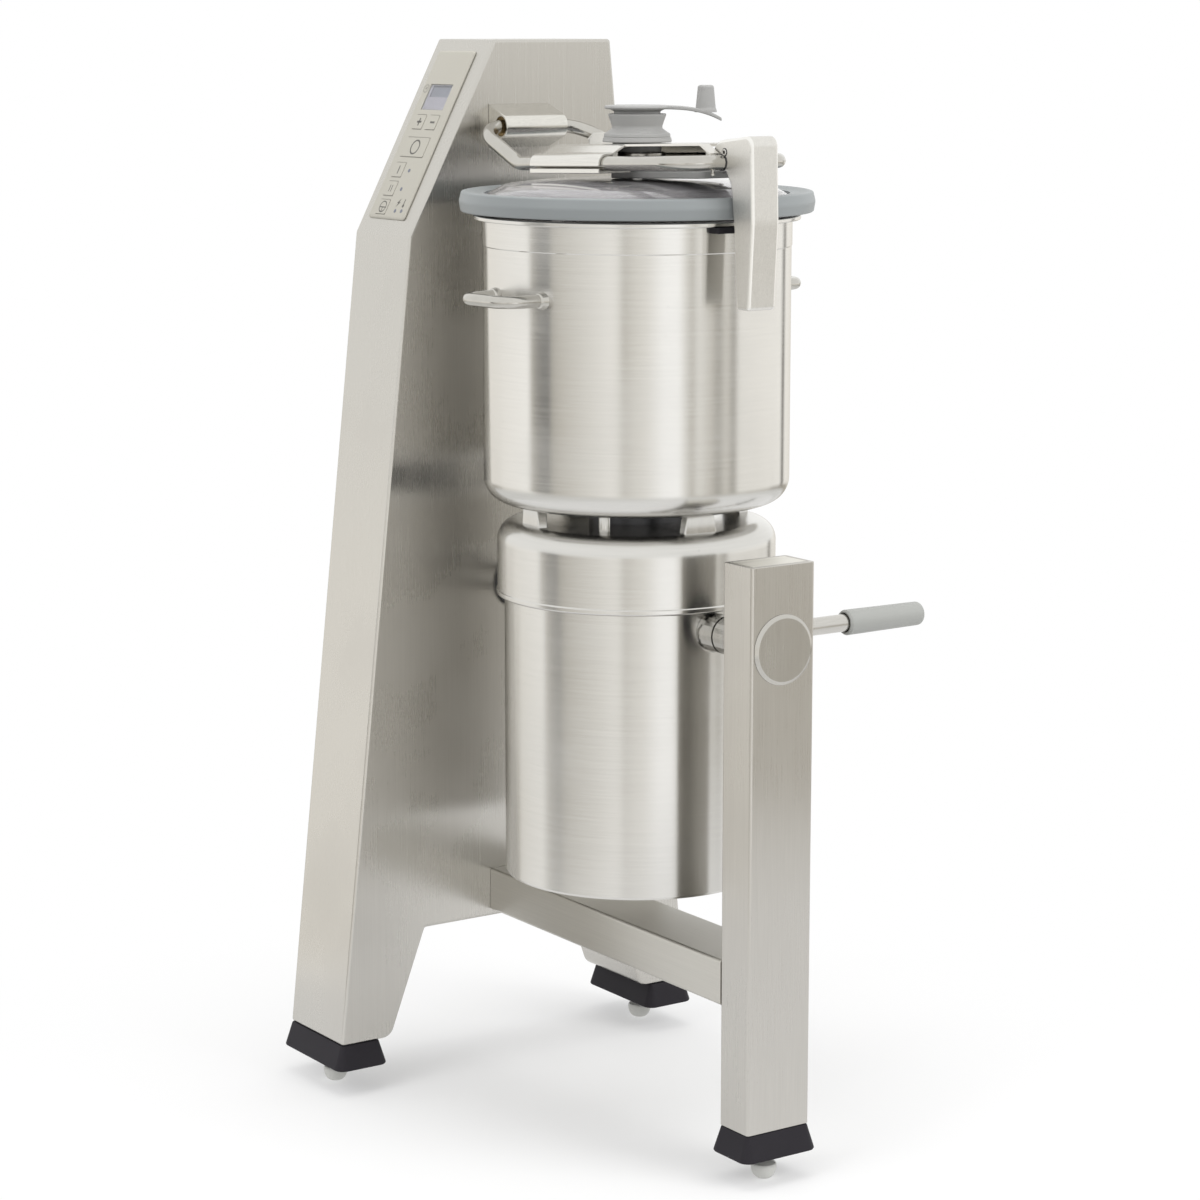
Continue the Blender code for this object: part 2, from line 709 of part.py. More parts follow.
def inset_outline(outline, inset):
    """Move each side of a counterclockwise outline inwards and join the sides again."""
    if inset == 0:
        return outline
    count = len(outline)
    moved = []
    for index in range(count):
        here = Vector(outline[index])
        before = (here - Vector(outline[index - 1])).normalized()
        after = (Vector(outline[(index + 1) % count]) - here).normalized()
        normal_before = Vector((-before.y, before.x))
        normal_after = Vector((-after.y, after.x))
        bisector = (normal_before + normal_after).normalized()
        moved.append(tuple(here + bisector * inset / bisector.dot(normal_before)))
    return moved


def make_column_shell():
    """The folded body: the wall towards the bowl and the skin round its outline."""
    outline = column_outline()
    count = len(outline)
    mesh = bpy.data.meshes.new("column_shell")
    front = [(COLUMN_WALL, y, z) for y, z in outline]
    back = [(COLUMN_BACK, y, z) for y, z in outline]
    faces = [list(range(count))]
    for index in range(count):
        following = (index + 1) % count
        faces.append([following, index, index + count, following + count])
    mesh.from_pydata(front + back, [], faces)
    build = bmesh.new()
    build.from_mesh(mesh)
    bmesh.ops.recalc_face_normals(build, faces=build.faces)
    wall = max(build.faces, key=lambda face: len(face.verts))
    if wall.normal.x < 0:
        bmesh.ops.reverse_faces(build, faces=build.faces)
    build.to_mesh(mesh)
    build.free()
    piece = add_piece("column_shell", mesh, STEEL)
    sheet = piece.modifiers.new("sheet", "SOLIDIFY")
    sheet.thickness = COLUMN_SHEET
    sheet.offset = -1
    sheet.use_even_offset = True
    low = COLUMN_WALL - COLUMN_SHEET - CUT_OVERRUN
    high = COLUMN_WALL + CUT_OVERRUN
    bore = rod_mesh("column_bore", BEARING_RADIUS, low, high)
    add_cutter("column_bore", bore, piece, (0, 0, TILT_HEIGHT), (0, math.radians(90), 0))
    add_panel_opening(piece)
    reach = COLUMN_SHEET + CUT_OVERRUN
    hole = rod_mesh("gland_hole", GLAND_RADIUS + SEAT_GAP, -CUT_OVERRUN, reach, SMALL_STEPS)
    add_cutter("gland_hole", hole, piece, (COLUMN_WALL - COLUMN_THICKNESS / 2, GLAND_Y, ARCH_HEIGHT))
    return piece


def make_side_cover():
    """The service cover that closes the column on its outer side."""
    outline = column_outline(COLUMN_SHEET + SEAT_GAP)
    curve = flat_curve("column_side_cover", [outline], COLUMN_SHEET)
    place = (COLUMN_BACK + COLUMN_SHEET / 2, 0, 0)
    turn = (math.radians(90), 0, math.radians(90))
    return add_piece("column_side_cover", curve, STEEL, place=place, turn=turn)


def slope_frame():
    """Place, turn and length of the sloping front above the break."""
    run = COLUMN_TOP_FRONT - COLUMN_BREAK_FRONT
    rise = COLUMN_HEIGHT - COLUMN_BREAK_HEIGHT
    lean = math.atan2(rise, run)
    middle_x = COLUMN_WALL - COLUMN_THICKNESS / 2
    return (middle_x, COLUMN_TOP_FRONT, COLUMN_HEIGHT), (lean, 0, 0), math.hypot(run, rise)


def panel_middle():
    """The panel's middle in the frame of the slope, which runs down from its top edge."""
    return PANEL_OFFSET, -(PANEL_TOP_DISTANCE + PANEL_LENGTH / 2)


def rectangle(width, height, radius, centre=(0, 0), steps=3):
    """A rounded rectangle as outline points, counterclockwise."""
    half_width = width / 2
    half_height = height / 2
    corners = [
        (centre[0] - half_width, centre[1] - half_height, 0),
        (centre[0] + half_width, centre[1] - half_height, 0),
        (centre[0] + half_width, centre[1] + half_height, 0),
        (centre[0] - half_width, centre[1] + half_height, 0),
    ]
    path = rounded_path(corners, [radius] * len(corners), closed=True, steps=steps)
    return [(point.x, point.y) for point in path]


def add_panel_opening(piece):
    """Open the sloping front behind the control panel."""
    place, turn, _ = slope_frame()
    width = PANEL_WIDTH - 2 * PANEL_REBATE
    length = PANEL_LENGTH - 2 * PANEL_REBATE
    across, down = panel_middle()
    low = (across - width / 2, down - length / 2, -COLUMN_SHEET - CUT_OVERRUN)
    high = (across + width / 2, down + length / 2, CUT_OVERRUN)
    add_cutter("panel_opening", box_mesh("panel_opening", low, high), piece, place, turn)


def panel_place(from_left, from_top):
    """A place on the panel in the frame of the slope."""
    across, down = panel_middle()
    return across - PANEL_WIDTH / 2 + from_left, down + PANEL_LENGTH / 2 - from_top


def make_panel():
    """The control panel: frame, window, keys and the board behind them."""
    place, turn, _ = slope_frame()
    frame = new_empty("panel_frame", MACHINE, place, turn)
    across, down = panel_middle()
    outlines = [rectangle(PANEL_WIDTH, PANEL_LENGTH, PANEL_CORNER_RADIUS, (across, down))]
    window_place = panel_place(PANEL_WIDTH / 2, WINDOW_ROW)
    outlines.append(rectangle(WINDOW_WIDTH, WINDOW_HEIGHT, WINDOW_CORNER_RADIUS, window_place))
    for _, from_left, from_top, width, height in KEYS:
        centre = panel_place(from_left, from_top)
        outlines.append(rectangle(width, height, KEY_CORNER_RADIUS, centre, steps=1))
    top = SEAT_GAP + PANEL_THICKNESS
    curve = flat_curve("control_panel", outlines, PANEL_THICKNESS)
    add_piece("control_panel", curve, PANEL_FILM, frame, (0, 0, top - PANEL_THICKNESS / 2))
    slack = 2 * KEY_CLEARANCE
    glass = rectangle(WINDOW_WIDTH - slack, WINDOW_HEIGHT - slack, WINDOW_CORNER_RADIUS)
    glass_thickness = PANEL_THICKNESS - KEY_PROUD
    curve = flat_curve("display_window", [glass], glass_thickness)
    glass_place = (*window_place, SEAT_GAP + glass_thickness / 2)
    add_piece("display_window", curve, CLEAR_PLASTIC, frame, glass_place)
    for name, from_left, from_top, width, height in KEYS:
        outline = rectangle(width - slack, height - slack, KEY_CORNER_RADIUS, steps=1)
        key_place = (*panel_place(from_left, from_top), top + KEY_PROUD - KEY_THICKNESS / 2)
        add_piece(name, flat_curve(name, [outline], KEY_THICKNESS), PANEL_FILM, frame, key_place)
    width = PANEL_WIDTH - 2 * PANEL_REBATE - slack
    length = PANEL_LENGTH - 2 * PANEL_REBATE - slack
    low = (across - width / 2, down - length / 2, -BOARD_THICKNESS)
    high = (across + width / 2, down + length / 2, 0)
    add_piece("keypad_board", box_mesh("keypad_board", low, high), BOARD_GREEN, frame)


def make_gland():
    """The gland of the supply lead in the top of the arch."""
    inside = ARCH_HEIGHT + COLUMN_SHEET + SEAT_GAP
    below = ARCH_HEIGHT - SEAT_GAP
    profile = [
        (GLAND_BORE, inside + GLAND_FLANGE),
        (GLAND_RADIUS, inside + GLAND_FLANGE),
        (GLAND_RADIUS, below),
        (GLAND_FLANGE_RADIUS, below),
        (GLAND_FLANGE_RADIUS, below - GLAND_FLANGE),
        (GLAND_RADIUS, below - GLAND_FLANGE),
        (GLAND_BORE + GLAND_FLANGE / 2, below - GLAND_HEIGHT),
        (GLAND_BORE, below - GLAND_HEIGHT),
    ]
    place = (COLUMN_WALL - COLUMN_THICKNESS / 2, GLAND_Y, 0)
    turned("cable_gland", profile, GREY_PLASTIC, steps=SMALL_STEPS, place=place)


# The beam, the post and what stands on the floor


def tube_outlines():
    """Outer and inner outline of the rectangular tube, its depth along the first axis."""
    inner_radius = TUBE_EDGE_RADIUS / 2
    outer = rectangle(TUBE_DEPTH, TUBE_WIDTH, TUBE_EDGE_RADIUS)
    inner = rectangle(TUBE_DEPTH - 2 * TUBE_WALL, TUBE_WIDTH - 2 * TUBE_WALL, inner_radius)
    return [outer, inner]


def make_beam():
    """The cross beam between column and post."""
    length = POST_DISTANCE - COLUMN_WALL - 2 * SEAT_GAP
    curve = flat_curve("cross_beam", tube_outlines(), length)
    place = ((POST_DISTANCE + COLUMN_WALL) / 2, 0, BEAM_BOTTOM + TUBE_DEPTH / 2)
    add_piece("cross_beam", curve, STEEL, place=place, turn=(0, math.radians(90), 0))


def make_post():
    """The post with its welded top plate and the bore of the right-hand trunnion."""
    middle_x = POST_DISTANCE + TUBE_DEPTH / 2
    middle_z = (POST_HEIGHT + LEG_BOTTOM) / 2
    curve = flat_curve("post_tube", tube_outlines(), POST_HEIGHT - LEG_BOTTOM)
    piece = curve_to_mesh(add_piece("post_tube", curve, STEEL, place=(middle_x, 0, middle_z)))
    half_depth = TUBE_DEPTH / 2 - TUBE_WALL / 2
    half_width = TUBE_WIDTH / 2 - TUBE_WALL / 2
    high = POST_HEIGHT - WELD_SINK - middle_z
    low = high - TOP_CAP_THICKNESS
    plate_mesh = box_mesh("post_top_plate", (-half_depth, -half_width, low), (half_depth, half_width, high))
    plate = bpy.data.objects.new("post_top_plate", plate_mesh)
    plate.parent = piece
    join_helper(plate, piece)
    reach = TUBE_DEPTH / 2 + CUT_OVERRUN
    bore = rod_mesh("post_bore", BEARING_RADIUS, -reach, reach)
    add_cutter("post_bore", bore, piece, (0, 0, TILT_HEIGHT - middle_z), (0, math.radians(90), 0))


def make_pivot_cap():
    """The round cover over the trunnion on the outer side of the post."""
    face = PIVOT_CAP_PROUD + SEAT_GAP
    profile = [
        (0, face),
        (PIVOT_CAP_RADIUS - PIVOT_CAP_PROUD / 2, face),
        (PIVOT_CAP_RADIUS, face - PIVOT_CAP_PROUD / 2),
        (PIVOT_CAP_RADIUS, SEAT_GAP),
        (BEARING_RADIUS - RUN_GAP, SEAT_GAP),
        (BEARING_RADIUS - RUN_GAP, -PIVOT_CAP_SPIGOT),
        (0, -PIVOT_CAP_SPIGOT),
    ]
    turned("pivot_cap", profile, STEEL, place=(POST_OUTER, 0, TILT_HEIGHT), turn=(0, math.radians(90), 0))


def bearing_profile(wall, inward):
    """A flanged bush in a wall; inward is the side that the bush reaches to."""
    flange = wall - inward * SEAT_GAP
    face = flange - inward * BEARING_FLANGE
    end = wall + inward * BEARING_LENGTH
    bore = TRUNNION_RADIUS + SEAT_GAP
    outer = BEARING_RADIUS - SEAT_GAP
    profile = [(bore, end), (outer, end), (outer, flange)]
    profile += [(BEARING_FLANGE_RADIUS, flange), (BEARING_FLANGE_RADIUS, face), (bore, face)]
    return profile if inward > 0 else profile[::-1]


def make_bearings():
    """The two flanged bushes that the trunnions turn in."""
    place = (0, 0, TILT_HEIGHT)
    turn = (0, math.radians(90), 0)
    for name, wall, inward in (("post_bearing", POST_DISTANCE, 1), ("column_bearing", COLUMN_WALL, -1)):
        profile = bearing_profile(wall, inward)
        turned(name, profile, GREY_PLASTIC, steps=MEDIUM_STEPS, place=place, turn=turn)


def boot_places():
    """Low and high corner of the flat end of each leg, from the front to the post."""
    flat = LEG_FOOT_WIDTH - LEG_CORNER_RADIUS
    half = TUBE_WIDTH / 2
    return [
        ("front", COLUMN_BACK, COLUMN_WALL, LEG_FRONT, LEG_FRONT + flat),
        ("rear", COLUMN_BACK, COLUMN_WALL, LEG_REAR - flat, LEG_REAR),
        ("post", POST_DISTANCE, POST_OUTER, -half, half),
    ]


def make_boots():
    """A flared rubber boot under each leg of the column and under the post."""
    for name, low_x, high_x, low_y, high_y in boot_places():
        build = bmesh.new()
        corners = add_box(build, (low_x, low_y, BOOT_BOTTOM), (high_x, high_y, LEG_BOTTOM - SEAT_GAP))
        for corner in corners:
            if corner.co.z < LEG_BOTTOM - BOOT_FLARE:
                corner.co.x += BOOT_FLARE if corner.co.x > (low_x + high_x) / 2 else -BOOT_FLARE
                corner.co.y += BOOT_FLARE if corner.co.y > (low_y + high_y) / 2 else -BOOT_FLARE
        boot = add_piece("boot_" + name, finish_mesh("boot_" + name, build), BLACK_RUBBER)
        bevel(boot, BOOT_EDGE_RADIUS)
        smooth(boot)


def make_feet():
    """Three domed levelling feet that the machine stands on."""
    dome_top = FOOT_DOME_HEIGHT
    profile = [(0, BOOT_BOTTOM - SEAT_GAP), (FOOT_STEM_RADIUS, BOOT_BOTTOM - SEAT_GAP)]
    profile.append((FOOT_STEM_RADIUS, dome_top + FOOT_STEM_RADIUS))
    profile.append((FOOT_RADIUS, dome_top + FOOT_STEM_RADIUS / 2))
    bulge = FOOT_RADIUS - FOOT_FLAT_RADIUS
    for step in range(ARC_STEPS):
        angle = math.radians(90) * step / (ARC_STEPS - 1)
        profile.append((FOOT_FLAT_RADIUS + bulge * math.cos(angle), dome_top * (1 - math.sin(angle))))
    profile.append((0, 0))
    for name, low_x, high_x, low_y, high_y in boot_places():
        place = ((low_x + high_x) / 2, (low_y + high_y) / 2, 0)
        turned("foot_" + name, profile, PALE_PLASTIC, steps=SMALL_STEPS, place=place)


# The tilting motor unit


def local_tilt(profile):
    """Heights measured from the floor, moved to the tilt frame."""
    return [(radius, height - TILT_HEIGHT) for radius, height in profile]


def make_motor_shells():
    """The lower cylinder with its set-in floor and bearing seat, and the domed cap."""
    edge = MOTOR_EDGE
    inner = MOTOR_RADIUS - MOTOR_WALL
    floor = MOTOR_BOTTOM + BASE_PLATE_RISE
    profile = [
        (MOTOR_RADIUS, MOTOR_TOP),
        (MOTOR_RADIUS, MOTOR_BOTTOM + edge),
        (MOTOR_RADIUS - edge / 3, MOTOR_BOTTOM),
        (inner, MOTOR_BOTTOM),
        (inner, floor),
        (SHAFT_RADIUS + SEAT_GAP, floor),
        (SHAFT_RADIUS + SEAT_GAP, BASE_PLATE_TOP + SHAFT_BEARING_HEIGHT),
        (SHAFT_BEARING_RADIUS, BASE_PLATE_TOP + SHAFT_BEARING_HEIGHT),
        (SHAFT_BEARING_RADIUS, BASE_PLATE_TOP),
        (inner, BASE_PLATE_TOP),
        (inner, MOTOR_TOP),
    ]
    housing = turned("motor_housing", local_tilt(profile), STEEL, TILT)
    for name, side in (("notch_right", 1), ("notch_left", -1)):
        round_end = rod_mesh(name, NOTCH_RADIUS, NOTCH_DISTANCE, CAP_RADIUS)
        add_cutter(name, round_end, housing, turn=(0, side * math.radians(90), 0))
        middle = side * (NOTCH_DISTANCE + CAP_RADIUS) / 2
        half = (CAP_RADIUS - NOTCH_DISTANCE) / 2
        top = MOTOR_TOP - TILT_HEIGHT + CUT_OVERRUN
        slot = box_mesh(name + "_slot", (middle - half, -NOTCH_RADIUS, 0), (middle + half, NOTCH_RADIUS, top))
        add_cutter(name + "_slot", slot, housing)
    shoulder = (CAP_RADIUS - CAP_SHOULDER_RADIUS, CAP_TOP - CAP_SHOULDER_RADIUS)
    outside = arc(shoulder, CAP_SHOULDER_RADIUS, math.radians(90), 0)
    inside = arc(shoulder, CAP_SHOULDER_RADIUS - CAP_SHEET, 0, math.radians(90), 3)
    bead_top = CAP_BOTTOM + CAP_BEAD_HEIGHT
    bead = CAP_RADIUS + CAP_BEAD_PROUD
    hole = HUB_TUBE_RADIUS
    profile = [(hole, CAP_TOP)] + outside
    profile += [(CAP_RADIUS, bead_top), (bead, bead_top - CAP_BEAD_PROUD)]
    profile += [(bead, CAP_BOTTOM + CAP_BEAD_HEIGHT / 2)]
    profile += [(MOTOR_RADIUS + SEAT_GAP + CAP_BEAD_PROUD, CAP_BOTTOM), (MOTOR_RADIUS + SEAT_GAP, CAP_BOTTOM)]
    profile += [(MOTOR_RADIUS + SEAT_GAP, CAP_BOTTOM + CAP_SHEET), (CAP_RADIUS - CAP_SHEET, bead_top)]
    profile += inside + [(hole, CAP_UNDERSIDE)]
    cap = turned("motor_cap", local_tilt(profile), STEEL, TILT)
    weld_supports(cap)


def make_motor_inside():
    """Stator, upper bearing and the turning shaft with its rotor."""
    low = BASE_PLATE_TOP + SEAT_GAP
    profile = ring_profile(STATOR_RADIUS, ROTOR_RADIUS + RUN_GAP, low, low + STATOR_HEIGHT)
    turned("motor_stator", local_tilt(profile), COPPER_STACK, TILT, steps=MEDIUM_STEPS)
    top = CAP_UNDERSIDE - SEAT_GAP
    bore = SHAFT_RADIUS + SEAT_GAP
    profile = ring_profile(SHAFT_BEARING_RADIUS, bore, top - SHAFT_BEARING_HEIGHT, top)
    turned("upper_bearing", local_tilt(profile), DARK_STEEL, TILT, steps=MEDIUM_STEPS)
    middle = low + STATOR_HEIGHT / 2
    profile = ring_profile(ROTOR_RADIUS, bore, middle - ROTOR_HEIGHT / 2, middle + ROTOR_HEIGHT / 2)
    turned("motor_rotor", profile, DARK_STEEL, SPIN, steps=MEDIUM_STEPS)
    shaft_top = BLADE_HUB_TOP - BLADE_HUB_WALL - SEAT_GAP
    shaft = rod_mesh("drive_shaft", SHAFT_RADIUS, MOTOR_BOTTOM + BASE_PLATE_RISE, shaft_top, SMALL_STEPS)
    piece = add_piece("drive_shaft", shaft, BRIGHT_STEEL, SPIN)
    smooth(piece)


def make_trunnions():
    """The stub shafts that the unit tips on, with their spacers and the lever hub."""
    start = NOTCH_DISTANCE + SEAT_GAP
    hub_end = LEVER_HUB_START + LEVER_HUB_LENGTH
    end = POST_DISTANCE + TUBE_DEPTH - TUBE_WALL - TRUNNION_END_GAP
    profile = [
        (0, end),
        (TRUNNION_RADIUS, end),
        (TRUNNION_RADIUS, hub_end),
        (LEVER_HUB_RADIUS, hub_end),
        (LEVER_HUB_RADIUS, LEVER_HUB_START),
        (TRUNNION_RADIUS, LEVER_HUB_START),
        (TRUNNION_RADIUS, start),
        (0, start),
    ]
    to_right = (0, math.radians(90), 0)
    to_left = (0, math.radians(-90), 0)
    turned("trunnion_right", profile, STEEL, TILT, steps=MEDIUM_STEPS, turn=to_right)
    far_end = COLUMN_DISTANCE + BEARING_LENGTH + TRUNNION_END_GAP
    profile = [(0, far_end), (TRUNNION_RADIUS, far_end), (TRUNNION_RADIUS, start), (0, start)]
    turned("trunnion_left", profile, STEEL, TILT, steps=MEDIUM_STEPS, turn=to_left)
    bore = TRUNNION_RADIUS + SEAT_GAP
    profile = ring_profile(SPACER_RADIUS, bore, start, start + SPACER_LENGTH)
    turned("spacer_right", profile, GREY_PLASTIC, TILT, steps=MEDIUM_STEPS, turn=to_right)
    turned("spacer_left", profile, GREY_PLASTIC, TILT, steps=MEDIUM_STEPS, turn=to_left)


def make_lever():
    """The tilt lever and its sliding grip, reaching to the rear beside the post."""
    start = LEVER_HUB_RADIUS + SEAT_GAP
    rod_end = GRIP_BORE_REACH + GRIP_TRAVEL
    collar = LEVER_ROD_RADIUS + BLADE_THICKNESS
    profile = [
        (0, rod_end),
        (LEVER_ROD_RADIUS, rod_end),
        (LEVER_ROD_RADIUS, start + LEVER_HUB_LENGTH / 4),
        (collar, start + LEVER_HUB_LENGTH / 4),
        (collar, start),
        (0, start),
    ]
    to_rear = (math.radians(-90), 0, 0)
    turned("tilt_lever_rod", profile, STEEL, LEVER, steps=MEDIUM_STEPS, turn=to_rear)
    bore = LEVER_ROD_RADIUS + SEAT_GAP
    tip_centre = (GRIP_END_RADIUS - GRIP_ROUNDING, GRIP_REACH - GRIP_ROUNDING)
    tip = arc(tip_centre, GRIP_ROUNDING, math.radians(90), 0, 4)
    mouth_depth = LEVER_ROD_REACH + GRIP_ROUNDING
    bore_end = rod_end + GRIP_TRAVEL
    profile = [(0, GRIP_REACH)] + tip
    profile += [(GRIP_RADIUS, LEVER_ROD_REACH + GRIP_ROUNDING / 2), (GRIP_MOUTH + SEAT_GAP, LEVER_ROD_REACH)]
    profile += [(GRIP_MOUTH - SEAT_GAP, mouth_depth), (bore, mouth_depth), (bore, bore_end), (0, bore_end)]
    turned("lever_grip", profile, GREY_PLASTIC, LEVER, steps=MEDIUM_STEPS, turn=to_rear)


def weld_supports(cap):
    """Weld tapered blocks, a locating stud and the centring ring on top of the motor cap."""
    low = CAP_UNDERSIDE + CAP_SHEET / 2 - TILT_HEIGHT
    high = BOWL_BOTTOM - SEAT_GAP - TILT_HEIGHT
    build = bmesh.new()
    half_depth = SUPPORT_DEPTH / 2
    opposite = SUPPORT_AXIS + math.radians(180)
    for axis, side in ((SUPPORT_AXIS, -1), (SUPPORT_AXIS, 1), (opposite, -1), (opposite, 1)):
        turn = Matrix.Rotation(axis + side * SUPPORT_HALF_SPREAD, 4, "Z")
        inner = (SUPPORT_CIRCLE - half_depth, -SUPPORT_WIDTH / 2, low)
        outer = (SUPPORT_CIRCLE + half_depth, SUPPORT_WIDTH / 2, high)
        corners = add_box(build, inner, outer)
        for corner in corners:
            if corner.co.z > (low + high) / 2:
                corner.co.y *= SUPPORT_TOP_SHARE
        bmesh.ops.transform(build, matrix=turn, verts=corners)
    place = (PIN_CIRCLE * math.cos(PIN_ANGLE), PIN_CIRCLE * math.sin(PIN_ANGLE))
    add_rod(build, PIN_RADIUS, low, high, SMALL_STEPS, place=place)
    blocks = bpy.data.objects.new("support_blocks", finish_mesh("support_blocks", build))
    blocks.parent = cap
    join_helper(blocks, cap)
    profile = ring_profile(RING_RADIUS, RING_BORE, low, high)
    ring = turned("centring_ring", profile, STEEL, cap, steps=MEDIUM_STEPS)
    join_helper(ring, cap)


# The bowl


def bowl_profile():
    """Section of the bowl: rim flange, wall with its weld step, rounded corner, floor and hub tube."""
    corner_radius = BOWL_CORNER_RADIUS
    outer_corner = (BOWL_LOWER_RADIUS - corner_radius, BOWL_BOTTOM + corner_radius)
    inner_radius = corner_radius - BOWL_SHEET
    floor_top = BOWL_BOTTOM + BOWL_FLOOR
    inner_corner = (BOWL_INNER_RADIUS - inner_radius, floor_top + inner_radius)
    step = BOWL_RADIUS - BOWL_LOWER_RADIUS
    edge = FLANGE_THICKNESS / 4
    profile = [(FLANGE_RADIUS - edge, BOWL_RIM), (FLANGE_RADIUS, BOWL_RIM - edge)]
    profile += [(FLANGE_RADIUS, BOWL_RIM - FLANGE_THICKNESS + edge)]
    profile += [(FLANGE_RADIUS - edge, BOWL_RIM - FLANGE_THICKNESS)]
    profile += [(BOWL_RADIUS, BOWL_RIM - FLANGE_THICKNESS)]
    profile += [(BOWL_RADIUS, BOWL_WELD_HEIGHT + step), (BOWL_LOWER_RADIUS, BOWL_WELD_HEIGHT)]
    profile += arc(outer_corner, corner_radius, 0, math.radians(-90))
    profile += [(HUB_TUBE_BORE, BOWL_BOTTOM), (HUB_TUBE_BORE, floor_top + HUB_TUBE_HEIGHT)]
    profile += [(HUB_TUBE_RADIUS, floor_top + HUB_TUBE_HEIGHT), (HUB_TUBE_RADIUS, floor_top)]
    profile += arc(inner_corner, inner_radius, math.radians(-90), 0, 4)
    profile += [(BOWL_INNER_RADIUS, BOWL_RIM)]
    return profile


def make_bowl():
    """The bowl, its two handles and the black keeper under its rim."""
    turned("bowl", local_tilt(bowl_profile()), STEEL, TILT)
    for name, side in (("bowl_handle_front", -1), ("bowl_handle_rear", 1)):
        half = HANDLE_WIDTH / 2
        wall = math.sqrt(BOWL_LOWER_RADIUS**2 - (half + HANDLE_ROD_RADIUS) ** 2) - CUT_OVERRUN
        reach = BOWL_RADIUS + HANDLE_REACH - HANDLE_ROD_RADIUS
        corners = [(-half, wall, 0), (-half, reach, 0), (half, reach, 0), (half, wall, 0)]
        path = rounded_path(corners, [0, HANDLE_BEND, HANDLE_BEND, 0])
        turn = math.radians(0 if side > 0 else 180) + HANDLE_TURN
        curve = rod_curve(name, path, HANDLE_ROD_RADIUS)
        place = (0, 0, HANDLE_HEIGHT - TILT_HEIGHT)
        handle = curve_to_mesh(add_piece(name, curve, BRIGHT_STEEL, TILT, place, (0, 0, turn)))
        seat = rod_mesh(name + "_seat", BOWL_LOWER_RADIUS + SEAT_GAP, -half, half, LARGE_STEPS)
        cutter = add_cutter(name + "_seat", seat, handle)
        cutter.parent = TILT
        cutter.location = place
    outer = BOWL_RADIUS + KEEPER_REACH
    top = BOWL_RIM - FLANGE_THICKNESS - SEAT_GAP
    half = KEEPER_WIDTH / 2
    spread = math.asin(half / BOWL_RADIUS)
    outline = arc((0, 0), BOWL_RADIUS + SEAT_GAP, spread, -spread, 6) + [(outer - BOWL_SHEET, -half)]
    outline += [(outer, -half + BOWL_SHEET), (outer, half - BOWL_SHEET), (outer - BOWL_SHEET, half)]
    curve = flat_curve("latch_keeper", [outline], KEEPER_HEIGHT)
    add_piece("latch_keeper", curve, BLACK_RUBBER, TILT, (0, 0, top - KEEPER_HEIGHT / 2 - TILT_HEIGHT))


# The cutting tool


def blade_outline():
    """A curved cutting blade in plan: two swept edges from the hub to a narrow tip."""
    root = BLADE_HUB_RADIUS + SEAT_GAP
    tip = BOWL_INNER_RADIUS - BLADE_TIP_CLEARANCE
    half = BLADE_ROOT_HALF_ANGLE
    tip_half = BLADE_TIP_WIDTH / 2 / tip
    steps = 9
    cutting = []
    backing = []
    for index in range(steps + 1):
        share = index / steps
        radius = root + (tip - root) * share
        lead = -half + (BLADE_SWEEP + half - tip_half) * share**0.75
        trail = half + (BLADE_SWEEP - half + tip_half) * share**0.75
        cutting.append((radius * math.cos(lead), radius * math.sin(lead)))
        backing.append((radius * math.cos(trail), radius * math.sin(trail)))
    inner = arc((0, 0), root, half, -half, 6)
    return cutting + list(reversed(backing)) + inner[1:-1]


def make_tool():
    """Hub, three staggered blades and the top cap."""
    top = BLADE_HUB_TOP
    bottom = BLADE_FIRST_HEIGHT - BLADE_THICKNESS
    edge = BLADE_HUB_WALL / 2
    profile = [
        (0, top),
        (BLADE_HUB_RADIUS - edge, top),
        (BLADE_HUB_RADIUS, top - edge),
        (BLADE_HUB_RADIUS, bottom),
        (BLADE_HUB_BORE, bottom),
        (BLADE_HUB_BORE, top - BLADE_HUB_WALL - BLADE_HUB_COLLAR),
        (SHAFT_RADIUS + SEAT_GAP, top - BLADE_HUB_WALL - BLADE_HUB_COLLAR),
        (SHAFT_RADIUS + SEAT_GAP, top - BLADE_HUB_WALL),
        (0, top - BLADE_HUB_WALL),
    ]
    turned("blade_hub", profile, BRIGHT_STEEL, SPIN, steps=MEDIUM_STEPS)
    outline = blade_outline()
    for index in range(BLADE_COUNT):
        name = "blade_" + str(index + 1)
        height = BLADE_FIRST_HEIGHT + BLADE_PITCH * index + BLADE_THICKNESS / 2
        turn = (0, 0, math.radians(360) * index / BLADE_COUNT)
        curve = flat_curve(name, [outline], BLADE_THICKNESS)
        add_piece(name, curve, BRIGHT_STEEL, SPIN, (0, 0, height), turn)
    low = top + SEAT_GAP
    high = low + BLADE_CAP_HEIGHT
    profile = [
        (0, high),
        (BLADE_CAP_RADIUS - edge, high),
        (BLADE_CAP_RADIUS, high - edge),
        (BLADE_CAP_RADIUS - edge, (low + high) / 2),
        (BLADE_CAP_RADIUS, low + edge),
        (BLADE_CAP_RADIUS, low),
        (0, low),
    ]
    turned("blade_cap", profile, GREY_PLASTIC, SPIN, steps=MEDIUM_STEPS)


# The lid hinge and the yoke


